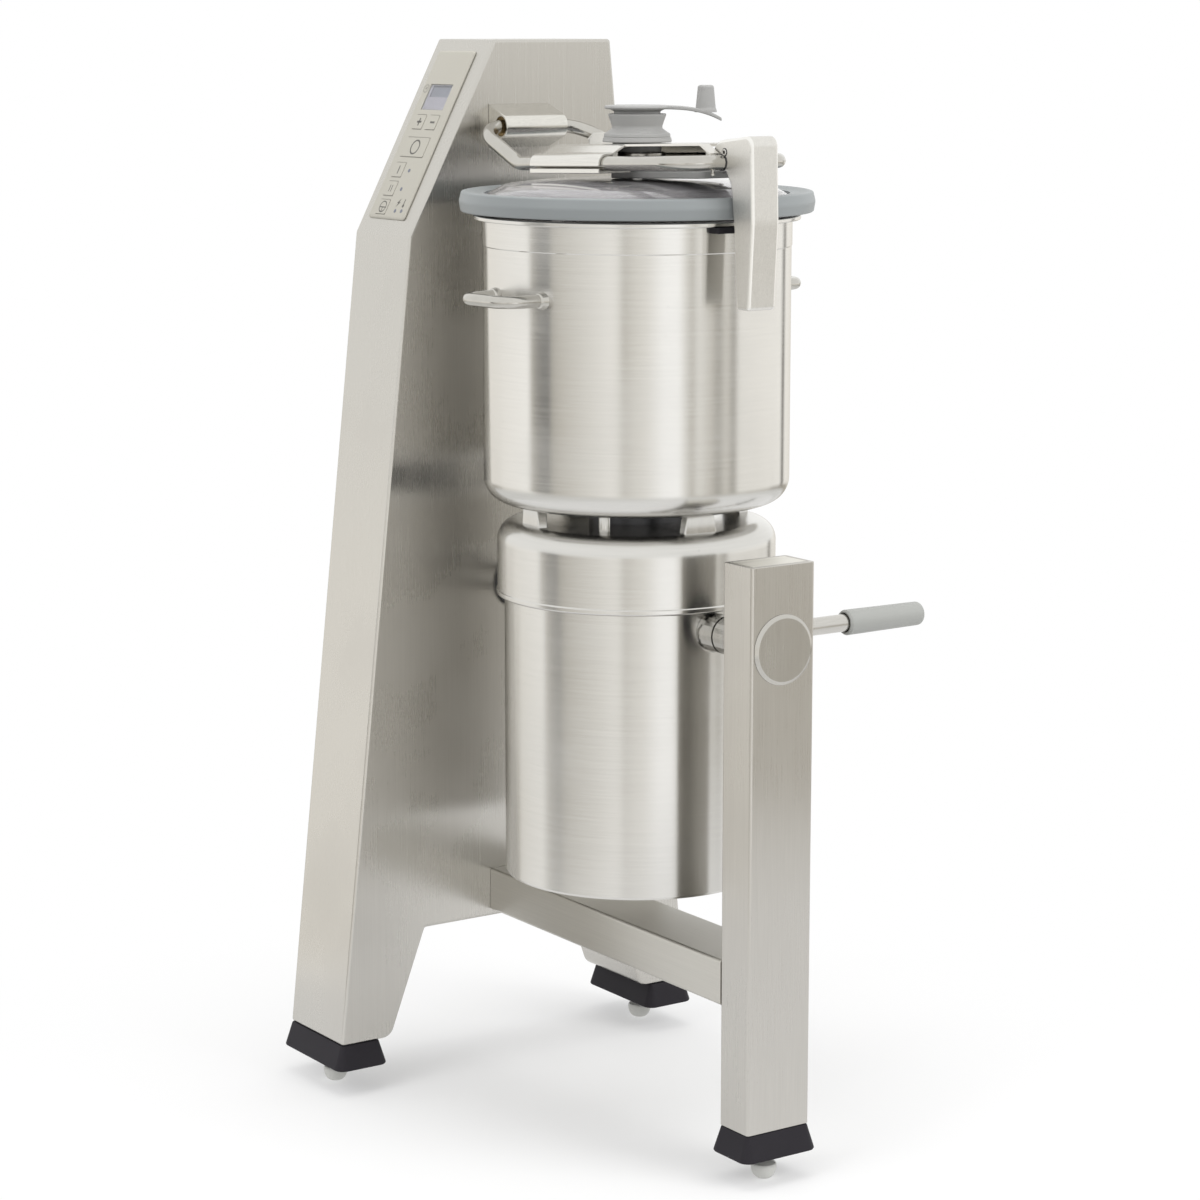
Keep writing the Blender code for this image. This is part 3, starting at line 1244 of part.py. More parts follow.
def make_hinge_housing():
    """The wedge-shaped housing with its round nose that the yoke turns in."""
    wall = -HINGE_FROM_COLUMN + SEAT_GAP
    distance = math.hypot(HINGE_FROM_COLUMN, HOUSING_HALF_HEIGHT)
    lean = math.atan2(HOUSING_HALF_HEIGHT, HINGE_FROM_COLUMN)
    tangent = math.pi - lean - math.acos(HOUSING_NOSE_RADIUS / distance)
    nose = arc((0, 0), HOUSING_NOSE_RADIUS, -tangent, tangent, 10)
    outline = [(wall, -HOUSING_HALF_HEIGHT)] + nose + [(wall, HOUSING_HALF_HEIGHT)]
    bore = arc((0, 0), HOUSING_BORE_RADIUS, 0, math.radians(360), MEDIUM_STEPS)[:-1]
    length = HOUSING_REAR - HOUSING_FRONT
    middle = (HOUSING_REAR + HOUSING_FRONT) / 2
    curve = flat_curve("hinge_housing", [outline, bore], length)
    place = (HINGE_X, middle, HINGE_HEIGHT)
    add_piece("hinge_housing", curve, STEEL, place=place, turn=(math.radians(90), 0, 0))
    low = HOUSING_FRONT + BUSH_RECESS
    high = HOUSING_REAR - BUSH_RECESS
    profile = ring_profile(HOUSING_BORE_RADIUS - SEAT_GAP, YOKE_ROD_RADIUS + SEAT_GAP, low, high)
    place = (HINGE_X, 0, HINGE_HEIGHT)
    turned("hinge_bush", profile, BRASS, steps=SMALL_STEPS, place=place, turn=(math.radians(-90), 0, 0))


def make_yoke():
    """The closed rod loop: hinge length, two cranked arms and the front crossbar."""
    half = YOKE_HALF_WIDTH
    corners = [
        (0, half, 0),
        (0, -half, 0),
        (YOKE_KNEE, -half, -YOKE_DROP),
        (YOKE_LENGTH, -half, -YOKE_DROP),
        (YOKE_LENGTH, half, -YOKE_DROP),
        (YOKE_KNEE, half, -YOKE_DROP),
    ]
    bends = [YOKE_BEND, YOKE_BEND, YOKE_BEND, YOKE_FRONT_BEND, YOKE_FRONT_BEND, YOKE_BEND]
    path = rounded_path(corners, bends, closed=True)
    curve = rod_curve("lid_yoke", path, YOKE_ROD_RADIUS, closed=True)
    add_piece("lid_yoke", curve, BRIGHT_STEEL, SLOPED_ARM)


def sheet_strip(name, section, start, end, finish, thickness, parent):
    """A formed sheet: an open section of (y, height) carried along X, thickened outwards."""
    count = len(section)
    points = [(start, across, up) for across, up in section] + [(end, across, up) for across, up in section]
    faces = [[index, index + count, index + count + 1, index + 1] for index in range(count - 1)]
    mesh = bpy.data.meshes.new(name)
    mesh.from_pydata(points, [], faces)
    piece = add_piece(name, mesh, finish, parent)
    sheet = piece.modifiers.new("sheet", "SOLIDIFY")
    sheet.thickness = thickness
    sheet.offset = 1
    sheet.use_even_offset = True
    return piece


def add_saddle_web(saddle, side, underside, skirt_top):
    """Weld the small end wall that closes the saddle beside one arm of the yoke."""
    grip = YOKE_ROD_RADIUS + SEAT_GAP
    rise = (SADDLE_FLAT_HALF_WIDTH - YOKE_HALF_WIDTH) / (underside + YOKE_DROP - grip)
    inner = YOKE_HALF_WIDTH - grip - SADDLE_WEB_DEPTH / 2
    outer = YOKE_HALF_WIDTH - grip - SADDLE_SHEET / 10
    top_inner = underside + (SADDLE_FLAT_HALF_WIDTH - inner) / rise
    top_outer = underside + (SADDLE_FLAT_HALF_WIDTH - outer) / rise
    sink = SADDLE_SHEET / 4
    outline = [(side * inner, skirt_top - sink), (side * outer, skirt_top - sink)]
    outline += [(side * outer, top_outer + sink), (side * inner, top_inner + sink)]
    curve = flat_curve("saddle_web", [outline], SADDLE_SKIRT_THICKNESS)
    turn = (math.radians(90), 0, math.radians(90))
    place = (SADDLE_END - SADDLE_SKIRT_THICKNESS, 0, 0)
    web = curve_to_mesh(add_piece("saddle_web", curve, BRIGHT_STEEL, SLOPED_ARM, place, turn))
    web.parent = saddle
    join_helper(web, saddle)


def add_saddle_tab(saddle):
    """Weld the small upright tab with its cut corners to the saddle's end near the hinge."""
    top = -SADDLE_TOP + SADDLE_TAB_RISE
    low = -SADDLE_TOP - SADDLE_SHEET / 2
    corner = SADDLE_TAB_RISE / 2
    outline = [(-SADDLE_TAB_LEFT, low), (SADDLE_TAB_RIGHT, low), (SADDLE_TAB_RIGHT, top - corner)]
    outline += [(SADDLE_TAB_RIGHT - corner, top), (-SADDLE_TAB_LEFT + corner, top)]
    outline += [(-SADDLE_TAB_LEFT, top - corner)]
    curve = flat_curve("saddle_tab", [outline], SADDLE_SHEET)
    turn = (math.radians(90), 0, math.radians(90))
    place = (SADDLE_START + SADDLE_SHEET, 0, 0)
    tab = curve_to_mesh(add_piece("saddle_tab", curve, BRIGHT_STEEL, SLOPED_ARM, place, turn))
    tab.parent = saddle
    join_helper(tab, saddle)


def make_saddle():
    """The saddle sheet over both arms of the yoke, with the plate that closes it below them."""
    grip = YOKE_ROD_RADIUS + SEAT_GAP
    rod_y = YOKE_HALF_WIDTH
    rod_z = -YOKE_DROP
    underside = -SADDLE_TOP - SADDLE_SHEET
    skirt_top = rod_z - grip
    half = [(-rod_y - grip, skirt_top - SADDLE_SKIRT_THICKNESS)]
    half += arc((-rod_y, rod_z), grip, math.radians(180), math.radians(75), 6)
    half += [(-(rod_y + SADDLE_FLAT_HALF_WIDTH) / 2, (underside + rod_z + grip) / 2)]
    half += [(-SADDLE_FLAT_HALF_WIDTH, underside)]
    ends = (SADDLE_START, SADDLE_END)
    saddle = sheet_strip("lid_saddle", mirrored(half), *ends, BRIGHT_STEEL, SADDLE_SHEET, SLOPED_ARM)
    half_width = rod_y + grip + SADDLE_SHEET / 2
    low = (SADDLE_START + SADDLE_SHEET, -half_width, skirt_top - SADDLE_SKIRT_THICKNESS)
    high = (SADDLE_END - SADDLE_SHEET, half_width, skirt_top)
    skirt = bpy.data.objects.new("saddle_skirt", box_mesh("saddle_skirt", low, high))
    skirt.parent = saddle
    join_helper(skirt, saddle)
    for side in (-1, 1):
        add_saddle_web(saddle, side, underside, skirt_top)
    add_saddle_tab(saddle)
    hole = rod_mesh("saddle_hole", BOSS_NECK_RADIUS + SEAT_GAP, rod_z + SADDLE_TOP / 2, 0)
    cutter = add_cutter("saddle_hole", hole, saddle)
    cutter.parent = ARM
    cutter.location = (-HINGE_X, 0, 0)
    window = BOSS_HALF_WIDTH + YOKE_ROD_RADIUS
    low = (-HINGE_X - window, -window - YOKE_SHIFT, skirt_top - SADDLE_SKIRT_THICKNESS - CUT_OVERRUN)
    high = (SADDLE_END + CUT_OVERRUN, window - YOKE_SHIFT, skirt_top + CUT_OVERRUN)
    add_cutter("boss_window", box_mesh("boss_window", low, high), saddle)


def make_strap():
    """The tapered strap from the saddle to the crossbar, forked round the latch."""
    grip = YOKE_ROD_RADIUS + SEAT_GAP
    start = SADDLE_END + SEAT_GAP
    fall_start = YOKE_LENGTH - STRAP_FALL_LENGTH
    underside = -SADDLE_TOP - SADDLE_SHEET
    section = [(start, underside), (fall_start, underside)]
    section += arc((YOKE_LENGTH, -YOKE_DROP), grip, math.radians(115), 0, 7)
    count = len(section)
    points = []
    for side in (-1, 1):
        for along, up in section:
            share = min(1, (along - start) / (fall_start - start))
            half = STRAP_HALF_WIDTH_START + (STRAP_HALF_WIDTH_END - STRAP_HALF_WIDTH_START) * share
            points.append((along, side * half - YOKE_SHIFT, up))
    faces = [[index, index + 1, index + 1 + count, index + count] for index in range(count - 1)]
    mesh = bpy.data.meshes.new("lid_strap")
    mesh.from_pydata(points, [], faces)
    strap = add_piece("lid_strap", mesh, BRIGHT_STEEL, SLOPED_ARM)
    sheet = strap.modifiers.new("sheet", "SOLIDIFY")
    sheet.thickness = SADDLE_SHEET
    sheet.offset = 1
    sheet.use_even_offset = True
    fork = LATCH_HALF_WIDTH + STRAP_FORK_GAP
    low = (YOKE_LENGTH - LATCH_LOBE_RADIUS - 2 * STRAP_FORK_GAP, -fork - YOKE_SHIFT, -YOKE_DROP - CUT_OVERRUN)
    high = (YOKE_LENGTH + LATCH_LOBE_RADIUS, fork - YOKE_SHIFT, 0)
    add_cutter("fork_gap", box_mesh("fork_gap", low, high), strap)


# The lid


def local_arm(profile):
    """Heights measured from the floor, moved to the lid arm's frame."""
    return [(radius, height - HINGE_HEIGHT) for radius, height in profile]


def make_lid():
    """Clear dome, moulded ring and seal."""
    axis = (-HINGE_X, 0, 0)
    sheet = LID_DOME_SHEET
    crown = LID_DOME_CROWN
    shoulder = crown - LID_DOME_SHOULDER_DROP
    flange_top = LID_RING_LIP - SEAT_GAP
    inner_top = LID_DOME_SHOULDER_RADIUS * 2 / 5
    outside = [(LID_DOME_HOLE_RADIUS, crown), (inner_top, crown)]
    for index in range(1, 6):
        share = index / 5
        radius = inner_top + (LID_DOME_SHOULDER_RADIUS - inner_top) * share
        outside.append((radius, crown - (crown - shoulder) * share**2))
    foot = LID_DOME_FOOT_RADIUS
    outside += [(foot - sheet, flange_top + sheet), (foot, flange_top), (LID_DOME_FLANGE_RADIUS, flange_top)]
    inside = [(LID_DOME_FLANGE_RADIUS, flange_top - sheet), (foot - sheet, flange_top - sheet)]
    inside += [(foot - 2 * sheet, flange_top)]
    inside += [(radius - sheet / 3, height - sheet) for radius, height in reversed(outside[1:7])]
    inside += [(LID_DOME_HOLE_RADIUS, crown - sheet)]
    profile = local_arm(outside + inside)
    turned("lid_dome", profile, CLEAR_PLASTIC, ARM, place=axis)
    ring_out = LID_RING_RADIUS
    recess = LID_DOME_FLANGE_RADIUS + SEAT_GAP
    height = LID_RING_TOP - LID_RING_BOTTOM
    slope = LID_RING_TOP - LID_RING_LIP
    groove = LID_RING_INNER + slope
    profile = [
        (LID_RING_INNER, LID_RING_LIP + slope / 2),
        (groove, LID_RING_LIP + slope / 4),
        (recess + slope / 2, LID_RING_TOP - slope / 2),
        (recess + 2 * slope, LID_RING_TOP),
        (ring_out - slope / 2, LID_RING_TOP - slope / 4),
        (ring_out - slope / 10, LID_RING_TOP - height / 3),
        (ring_out, LID_RING_TOP - height / 2),
        (ring_out - slope / 8, LID_RING_BOTTOM + height / 4),
        (ring_out - slope / 4, LID_RING_BOTTOM + slope / 4),
        (ring_out - slope / 2, LID_RING_BOTTOM),
        (recess, LID_RING_BOTTOM),
        (recess, LID_RING_LIP),
        (LID_RING_INNER, LID_RING_LIP),
    ]
    turned("lid_rim", local_arm(profile), RING_PLASTIC, ARM, place=axis)
    seal_top = flange_top - sheet - SEAT_GAP
    profile = [
        (LID_DOME_FLANGE_RADIUS, seal_top),
        (LID_DOME_FLANGE_RADIUS, GASKET_BOTTOM + sheet / 2),
        (LID_DOME_FLANGE_RADIUS - sheet / 2, GASKET_BOTTOM),
        (GASKET_INNER + sheet, GASKET_BOTTOM),
        (GASKET_INNER, GASKET_BOTTOM + sheet),
        (GASKET_INNER, seal_top),
    ]
    turned("lid_gasket", local_arm(profile), BLACK_RUBBER, ARM, place=axis)


def make_lid_centre():
    """Boss plate with its neck, metal clamp ring and the waisted wiper housing."""
    axis = (-HINGE_X, 0, 0)
    bore = WIPER_SHAFT_RADIUS + RUN_GAP
    low_end = -HINGE_X - BOSS_HALF_WIDTH
    crown = LID_DOME_CROWN + SEAT_GAP - HINGE_HEIGHT
    underside = (crown - low_end * math.sin(YOKE_RISE)) / math.cos(YOKE_RISE)
    round_end = arc((0, 0), BOSS_HALF_WIDTH, math.radians(90), math.radians(270), 8)
    nose = BOSS_HALF_WIDTH / 5
    outline = round_end + [(BOSS_LENGTH - nose, -BOSS_HALF_WIDTH), (BOSS_LENGTH, -BOSS_HALF_WIDTH + nose)]
    outline += [(BOSS_LENGTH, BOSS_HALF_WIDTH - nose), (BOSS_LENGTH - nose, BOSS_HALF_WIDTH)]
    curve = flat_curve("lid_boss", [outline], BOSS_THICKNESS)
    place = (-HINGE_X, -YOKE_SHIFT, underside + BOSS_THICKNESS / 2)
    boss = curve_to_mesh(add_piece("lid_boss", curve, GREY_PLASTIC, SLOPED_ARM, place))
    neck_low = LID_DOME_CROWN + SEAT_GAP + BOSS_THICKNESS / 2
    neck_high = TOWER_BOTTOM - SEAT_GAP
    clamp_bore = BOSS_NECK_RADIUS - BOSS_THICKNESS / 3
    profile = [
        (0, neck_high),
        (BOSS_NECK_RADIUS, neck_high),
        (BOSS_NECK_RADIUS, BOSS_TOP + SEAT_GAP),
        (clamp_bore, BOSS_TOP + SEAT_GAP),
        (clamp_bore, CLAMP_BOTTOM - SEAT_GAP),
        (BOSS_NECK_RADIUS, CLAMP_BOTTOM - SEAT_GAP),
        (BOSS_NECK_RADIUS, neck_low),
        (0, neck_low),
    ]
    neck = turned("lid_neck", local_arm(profile), GREY_PLASTIC, ARM, steps=MEDIUM_STEPS, place=axis)
    join_helper(neck, boss)
    hole_top = TOWER_BOTTOM - HINGE_HEIGHT + CUT_OVERRUN
    shaft_hole = rod_mesh("shaft_hole", bore, 2 * crown, hole_top, SMALL_STEPS)
    cutter = add_cutter("shaft_hole", shaft_hole, boss)
    cutter.parent = ARM
    cutter.location = axis
    edge = CLAMP_HEIGHT / 6
    profile = [
        (CLAMP_RADIUS - edge, BOSS_TOP),
        (CLAMP_RADIUS, BOSS_TOP - edge),
        (CLAMP_RADIUS, CLAMP_BOTTOM + edge),
        (CLAMP_RADIUS - edge, CLAMP_BOTTOM),
        (clamp_bore + SEAT_GAP, CLAMP_BOTTOM),
        (clamp_bore + SEAT_GAP, BOSS_TOP),
    ]
    turned("clamp_ring", local_arm(profile), BRIGHT_STEEL, ARM, steps=MEDIUM_STEPS, place=axis)
    flare_height = TOWER_BOTTOM + TOWER_FLARE_HEIGHT
    waist_height = TOWER_BOTTOM + TOWER_WAIST_HEIGHT
    slope = TOWER_LEDGE
    recess = CRANK_NECK_RADIUS + RUN_GAP
    profile = [
        (recess, TOWER_TOP),
        (TOWER_RIM_RADIUS - slope / 2, TOWER_TOP),
        (TOWER_RIM_RADIUS, TOWER_TOP - slope),
        (TOWER_WAIST_RADIUS + slope / 2, (TOWER_TOP + 2 * waist_height) / 3),
        (TOWER_WAIST_RADIUS, waist_height),
        (TOWER_WAIST_RADIUS + slope, waist_height - slope * 2),
        (TOWER_FLARE_RADIUS - slope * 2, flare_height + slope / 2),
        (TOWER_FLARE_RADIUS - slope, flare_height),
        (TOWER_FLARE_RADIUS, TOWER_BOTTOM + slope),
        (TOWER_FLARE_RADIUS - slope / 4, TOWER_BOTTOM),
        (bore, TOWER_BOTTOM),
        (bore, TOWER_TOP - slope),
        (recess, TOWER_TOP - slope),
    ]
    turned("wiper_housing", local_arm(profile), GREY_PLASTIC, ARM, steps=MEDIUM_STEPS, place=axis)


# The wiper


def crank_arm_mesh():
    """The curved strip from the disc to the tip: it narrows and drops as it goes out."""
    mesh = bpy.data.meshes.new("crank_arm_sheet")
    steps = 9
    start = CRANK_DISC_RADIUS / 3
    end = CRANK_REACH - CRANK_TIP_WIDTH / 2
    left = []
    right = []
    for index in range(steps + 1):
        share = index / steps
        along = start + (end - start) * share
        half = (CRANK_ARM_WIDTH + (CRANK_TIP_WIDTH - CRANK_ARM_WIDTH) * share) / 2
        left.append((along, -half, crank_surface(along)))
        right.append((along, half, crank_surface(along)))
    tip = []
    for index in range(1, 8):
        angle = math.radians(-90) + math.radians(180) * index / 8
        along = end + CRANK_TIP_WIDTH / 2 * math.cos(angle)
        tip.append((along, CRANK_TIP_WIDTH / 2 * math.sin(angle), crank_surface(along)))
    points = left + right + tip
    count = steps + 1
    faces = [[index, index + 1, index + 1 + count, index + count] for index in range(steps)]
    tip_start = 2 * count
    faces.append([count - 1] + list(range(tip_start, tip_start + len(tip))) + [2 * count - 1])
    mesh.from_pydata(points, [], faces)
    return mesh


def crank_surface(along):
    """Height of the top of the crank arm at a distance from its axis."""
    share = max(0, (along - CRANK_DISC_RADIUS / 2) / (CRANK_REACH - CRANK_DISC_RADIUS / 2))
    return CRANK_TOP - SEAT_GAP - CRANK_ARM_DROP * share**CRANK_ARM_CURVE


def make_crank():
    """The crank: disc with its neck, curved arm and tapered knob, moulded as one."""
    edge = CRANK_DISC_THICKNESS / 4
    neck = CRANK_BOTTOM - TOWER_LEDGE + SEAT_GAP
    under = CRANK_BOTTOM + CRANK_NECK_HEIGHT
    profile = [
        (0, CRANK_TOP),
        (CRANK_DISC_RADIUS / 2, CRANK_TOP),
        (CRANK_DISC_RADIUS - edge, CRANK_TOP - edge),
        (CRANK_DISC_RADIUS, CRANK_TOP - 2 * edge),
        (CRANK_DISC_RADIUS - 2 * edge, CRANK_TOP - 3 * edge),
        (CRANK_NECK_RADIUS + 2 * edge, under),
        (CRANK_NECK_RADIUS, under - edge),
        (CRANK_NECK_RADIUS, neck),
        (0, neck),
    ]
    crank = turned("wiper_crank", profile, GREY_PLASTIC, WIPER, steps=MEDIUM_STEPS)
    arm = bpy.data.objects.new("crank_arm", crank_arm_mesh())
    knob_low = crank_surface(KNOB_DISTANCE) - CRANK_ARM_THICKNESS / 2
    knob_mesh = rod_mesh("crank_knob", KNOB_BASE_RADIUS, knob_low, KNOB_TOP, SMALL_STEPS, KNOB_TOP_RADIUS)
    knob = bpy.data.objects.new("crank_knob", knob_mesh)
    sheet = arm.modifiers.new("sheet", "SOLIDIFY")
    sheet.thickness = CRANK_ARM_THICKNESS
    sheet.offset = -1
    knob.location = (KNOB_DISTANCE, 0, 0)
    rounding = knob.modifiers.new("rounding", "BEVEL")
    rounding.width = KNOB_TOP_RADIUS / 4
    rounding.segments = 2
    rounding.limit_method = "ANGLE"
    rounding.angle_limit = math.radians(60)
    for helper in (arm, knob):
        helper.parent = crank
        join_helper(helper, crank)


def make_wiper():
    """The crank's shaft, the bar under the dome and its wiping lip."""
    make_crank()
    shaft_top = CRANK_BOTTOM - TOWER_FLARE_HEIGHT / 2
    bar_top = WIPER_BAR_TOP
    bar_low = bar_top - WIPER_BAR_THICKNESS
    shaft = rod_mesh("wiper_shaft", WIPER_SHAFT_RADIUS, bar_top + SEAT_GAP, shaft_top, SMALL_STEPS)
    smooth(add_piece("wiper_shaft", shaft, BRIGHT_STEEL, WIPER))
    half = WIPER_BAR_WIDTH / 2
    outline = arc((-WIPER_TAIL + half, 0), half, math.radians(90), math.radians(270), 6)
    outline += arc((WIPER_REACH - half, 0), half, math.radians(-90), math.radians(90), 6)
    curve = flat_curve("wiper_bar", [outline], WIPER_BAR_THICKNESS)
    add_piece("wiper_bar", curve, GREY_PLASTIC, WIPER, (0, 0, (bar_low + bar_top) / 2))
    underside = LID_DOME_CROWN - LID_DOME_SHEET
    lip_start = WIPER_SHAFT_RADIUS * 3
    lip_end = LID_DOME_SHOULDER_RADIUS - LID_DOME_SHEET * 4
    inner_top = LID_DOME_SHOULDER_RADIUS * 2 / 5
    outline = [(lip_start, bar_top + SEAT_GAP), (lip_end, bar_top + SEAT_GAP)]
    for index in range(5, -1, -1):
        along = inner_top + (lip_end - inner_top) * index / 5
        share = (along - inner_top) / (LID_DOME_SHOULDER_RADIUS - inner_top)
        outline.append((along, underside - LID_DOME_SHOULDER_DROP * share**2 - 2 * RUN_GAP))
    outline.append((lip_start, underside - 2 * RUN_GAP))
    curve = flat_curve("wiper_lip", [outline], WIPER_BLADE_THICKNESS)
    add_piece("wiper_lip", curve, BLACK_RUBBER, WIPER, turn=(math.radians(90), 0, 0))


# The latch


def latch_outline():
    """Side view of the cast latch handle, measured from the crossbar's axis."""
    lobe_top = LATCH_LOBE_RISE + LATCH_LOBE_RADIUS
    corners = [
        (0, lobe_top, 0),
        (LATCH_TOP_DEPTH, LATCH_TOP_RISE, LATCH_TOP_RADIUS),
        (LATCH_BELLY_DEPTH, -LATCH_BELLY_DROP, LATCH_BELLY_RADIUS),
        (LATCH_FOOT_OUTER, -LATCH_LENGTH, LATCH_FOOT_RADIUS),
        (LATCH_FOOT_INNER, -LATCH_LENGTH, LATCH_FOOT_RADIUS),
        (LATCH_WAIST_DEPTH, -LATCH_WAIST_DROP, LATCH_WAIST_RADIUS),
        (LATCH_THROAT_DEPTH, -LATCH_THROAT_DROP, LATCH_THROAT_RADIUS),
        (LATCH_LOBE_RADIUS / 3, LATCH_LOBE_RISE - LATCH_LOBE_RADIUS * 0.94, 0),
    ]
    radii = [radius for _, _, radius in corners]
    path = rounded_path([(depth, rise, 0) for depth, rise, _ in corners], radii, steps=4)
    outline = [(point.x, point.y) for point in path]
    lobe = arc((0, LATCH_LOBE_RISE), LATCH_LOBE_RADIUS, math.radians(270), math.radians(110), 8)
    return outline + lobe


def make_latch():
    """The cast handle, turning on the crossbar, with the nose that faces the keeper."""
    outline = latch_outline()
    curve = flat_curve("latch_handle", [outline], 2 * LATCH_HALF_WIDTH)
    handle = add_piece("latch_handle", curve, CAST_STEEL, LATCH, turn=(math.radians(90), 0, 0))
    handle = curve_to_mesh(handle)
    bevel(handle, LATCH_EDGE_RADIUS, angle=math.radians(60))
    reach = LATCH_HALF_WIDTH + CUT_OVERRUN
    bore = rod_mesh("latch_bore", YOKE_ROD_RADIUS + SEAT_GAP, -reach, reach)
    add_cutter("latch_bore", bore, handle)
    tip = BOWL_RADIUS + KEEPER_REACH + NOSE_CLEARANCE - YOKE_FRONT_X
    middle = BOWL_RIM - FLANGE_THICKNESS - KEEPER_HEIGHT / 2 - YOKE_FRONT_Z
    low = (tip, middle - NOSE_HEIGHT / 2, -NOSE_WIDTH / 2)
    high = (LATCH_FOOT_INNER, middle + NOSE_HEIGHT / 2, NOSE_WIDTH / 2)
    nose = bpy.data.objects.new("latch_nose", box_mesh("latch_nose", low, high))
    nose.parent = handle
    join_helper(nose, handle)


def centre_machine():
    """Move the whole machine so that the origin is the bottom centre of its box."""
    bpy.context.view_layer.update()
    evaluated = bpy.context.evaluated_depsgraph_get()
    corners = []
    for piece in PARTS.objects:
        if piece.type == "EMPTY":
            continue
        solid = piece.evaluated_get(evaluated)
        corners += [solid.matrix_world @ vertex.co for vertex in solid.to_mesh().vertices]
        solid.to_mesh_clear()
    for axis in (0, 1):
        places = [corner[axis] for corner in corners]
        MACHINE.location[axis] = -(min(places) + max(places)) / 2


def main():
    """Build every piece of the machine."""
    make_column_shell()
    make_side_cover()
    make_panel()
    make_gland()
    make_beam()
    make_post()
    make_pivot_cap()
    make_bearings()
    make_boots()
    make_feet()
    make_motor_shells()
    make_motor_inside()
    make_trunnions()
    make_lever()
    make_bowl()
    make_tool()
    make_hinge_housing()
    make_yoke()
    make_saddle()
    make_strap()
    make_lid()
    make_lid_centre()
    make_wiper()
    make_latch()
    centre_machine()
    bpy.context.view_layer.update()


main()
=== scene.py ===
import math

import bmesh
import bpy
import numpy as np
from mathutils import Matrix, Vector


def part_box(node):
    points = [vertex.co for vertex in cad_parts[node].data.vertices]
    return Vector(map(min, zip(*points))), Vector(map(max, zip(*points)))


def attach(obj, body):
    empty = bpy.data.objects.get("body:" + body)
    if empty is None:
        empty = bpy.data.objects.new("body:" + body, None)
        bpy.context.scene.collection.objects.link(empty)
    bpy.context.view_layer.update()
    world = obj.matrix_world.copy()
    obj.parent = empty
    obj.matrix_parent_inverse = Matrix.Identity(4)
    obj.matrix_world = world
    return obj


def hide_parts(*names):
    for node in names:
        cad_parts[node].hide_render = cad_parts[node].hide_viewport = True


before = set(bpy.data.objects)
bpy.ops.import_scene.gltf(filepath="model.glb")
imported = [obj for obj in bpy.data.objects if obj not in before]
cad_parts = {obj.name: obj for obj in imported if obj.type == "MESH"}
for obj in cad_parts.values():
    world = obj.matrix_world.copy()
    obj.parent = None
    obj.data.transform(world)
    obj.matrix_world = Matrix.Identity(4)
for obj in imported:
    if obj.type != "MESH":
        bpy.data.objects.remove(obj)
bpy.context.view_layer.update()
low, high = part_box("bowl")
axis_x, axis_y = (low.x + high.x) / 2, (low.y + high.y) / 2


# The column: a shell folded from 2 mm brushed stainless sheet, with a sloping front and two legs.
# Its long folds have a small radius, which draws the bright line down the front edge.


def unit(vectors):
    """Vectors shortened or stretched to length 1."""
    return vectors / np.linalg.norm(vectors, axis=-1, keepdims=True)


def rounded(corners, radii=None, closed=True, steps=8):
    """A path in two or three dimensions whose corners are arcs that touch both of their sides. Without
    radii, the last number of each corner is its radius. A point just before and just after each arc
    lets shading bend only on the arc."""
    corners = np.array(corners, float)
    if radii is None:
        corners, radii = corners[:, :-1], corners[:, -1]
    points = []
    for index, (here, radius) in enumerate(zip(corners, np.broadcast_to(radii, len(corners)))):
        if radius == 0 or (not closed and index in (0, len(corners) - 1)):
            points.append(here)
            continue
        back = unit(corners[index - 1] - here)
        ahead = unit(corners[(index + 1) % len(corners)] - here)
        half = math.acos(np.clip(back @ ahead, -1, 1)) / 2
        reach = radius / math.tan(half)
        centre = here + unit(back + ahead) * radius / math.sin(half)
        sweep = math.pi - 2 * half
        share = np.linspace(0, 1, steps + 1)[:, None]
        first = here + back * reach - centre
        last = here + ahead * reach - centre
        arc = first * np.sin((1 - share) * sweep) + last * np.sin(share * sweep)
        points += [here + back * reach * 1.04, *(centre + arc / math.sin(sweep)), here + ahead * reach * 1.04]
    return np.array(points)


def smoothed(mesh, sharp):
    """Shade a mesh smooth, apart from edges sharper than an angle in degrees."""
    mesh.shade_smooth()
    mesh.set_sharp_from_angle(angle=math.radians(sharp))
    return mesh


def skin(name, *grids, ring=False, sharp=32):
    """A mesh of one or more grids of points (rows x columns x 3). Quads join each row to the next, and
    every row runs round and closes. With ring, the last row joins the first; otherwise a face closes
    each end. Rows that shrink to a point become poles. Faces are turned to point outwards."""
    points = []
    faces = []
    for grid in grids:
        grid = np.asarray(grid, float)
        index = np.arange(grid.shape[0] * grid.shape[1]).reshape(grid.shape[:2]) + sum(map(len, points))
        upper = index if ring else index[:-1]
        lower = np.roll(index, -1, axis=0) if ring else index[1:]
        quads = np.stack([upper, np.roll(upper, -1, 1), np.roll(lower, -1, 1), lower], -1)
        faces += quads.reshape(-1, 4).tolist()
        if not ring:
            faces += [index[0, ::-1].tolist(), index[-1].tolist()]
        points.append(grid.reshape(-1, 3))
    mesh = bpy.data.meshes.new(name)
    mesh.from_pydata(np.concatenate(points).tolist(), [], faces)
    build = bmesh.new()
    build.from_mesh(mesh)
    bmesh.ops.remove_doubles(build, verts=build.verts, dist=1e-7)
    bmesh.ops.recalc_face_normals(build, faces=build.faces)
    if build.calc_volume(signed=True) < 0:
        bmesh.ops.reverse_faces(build, faces=build.faces)
    build.to_mesh(mesh)
    build.free()
    return smoothed(mesh, sharp)


def raised(outline, height):
    """A flat outline lifted to a height."""
    return np.insert(outline, 2, height, 1)


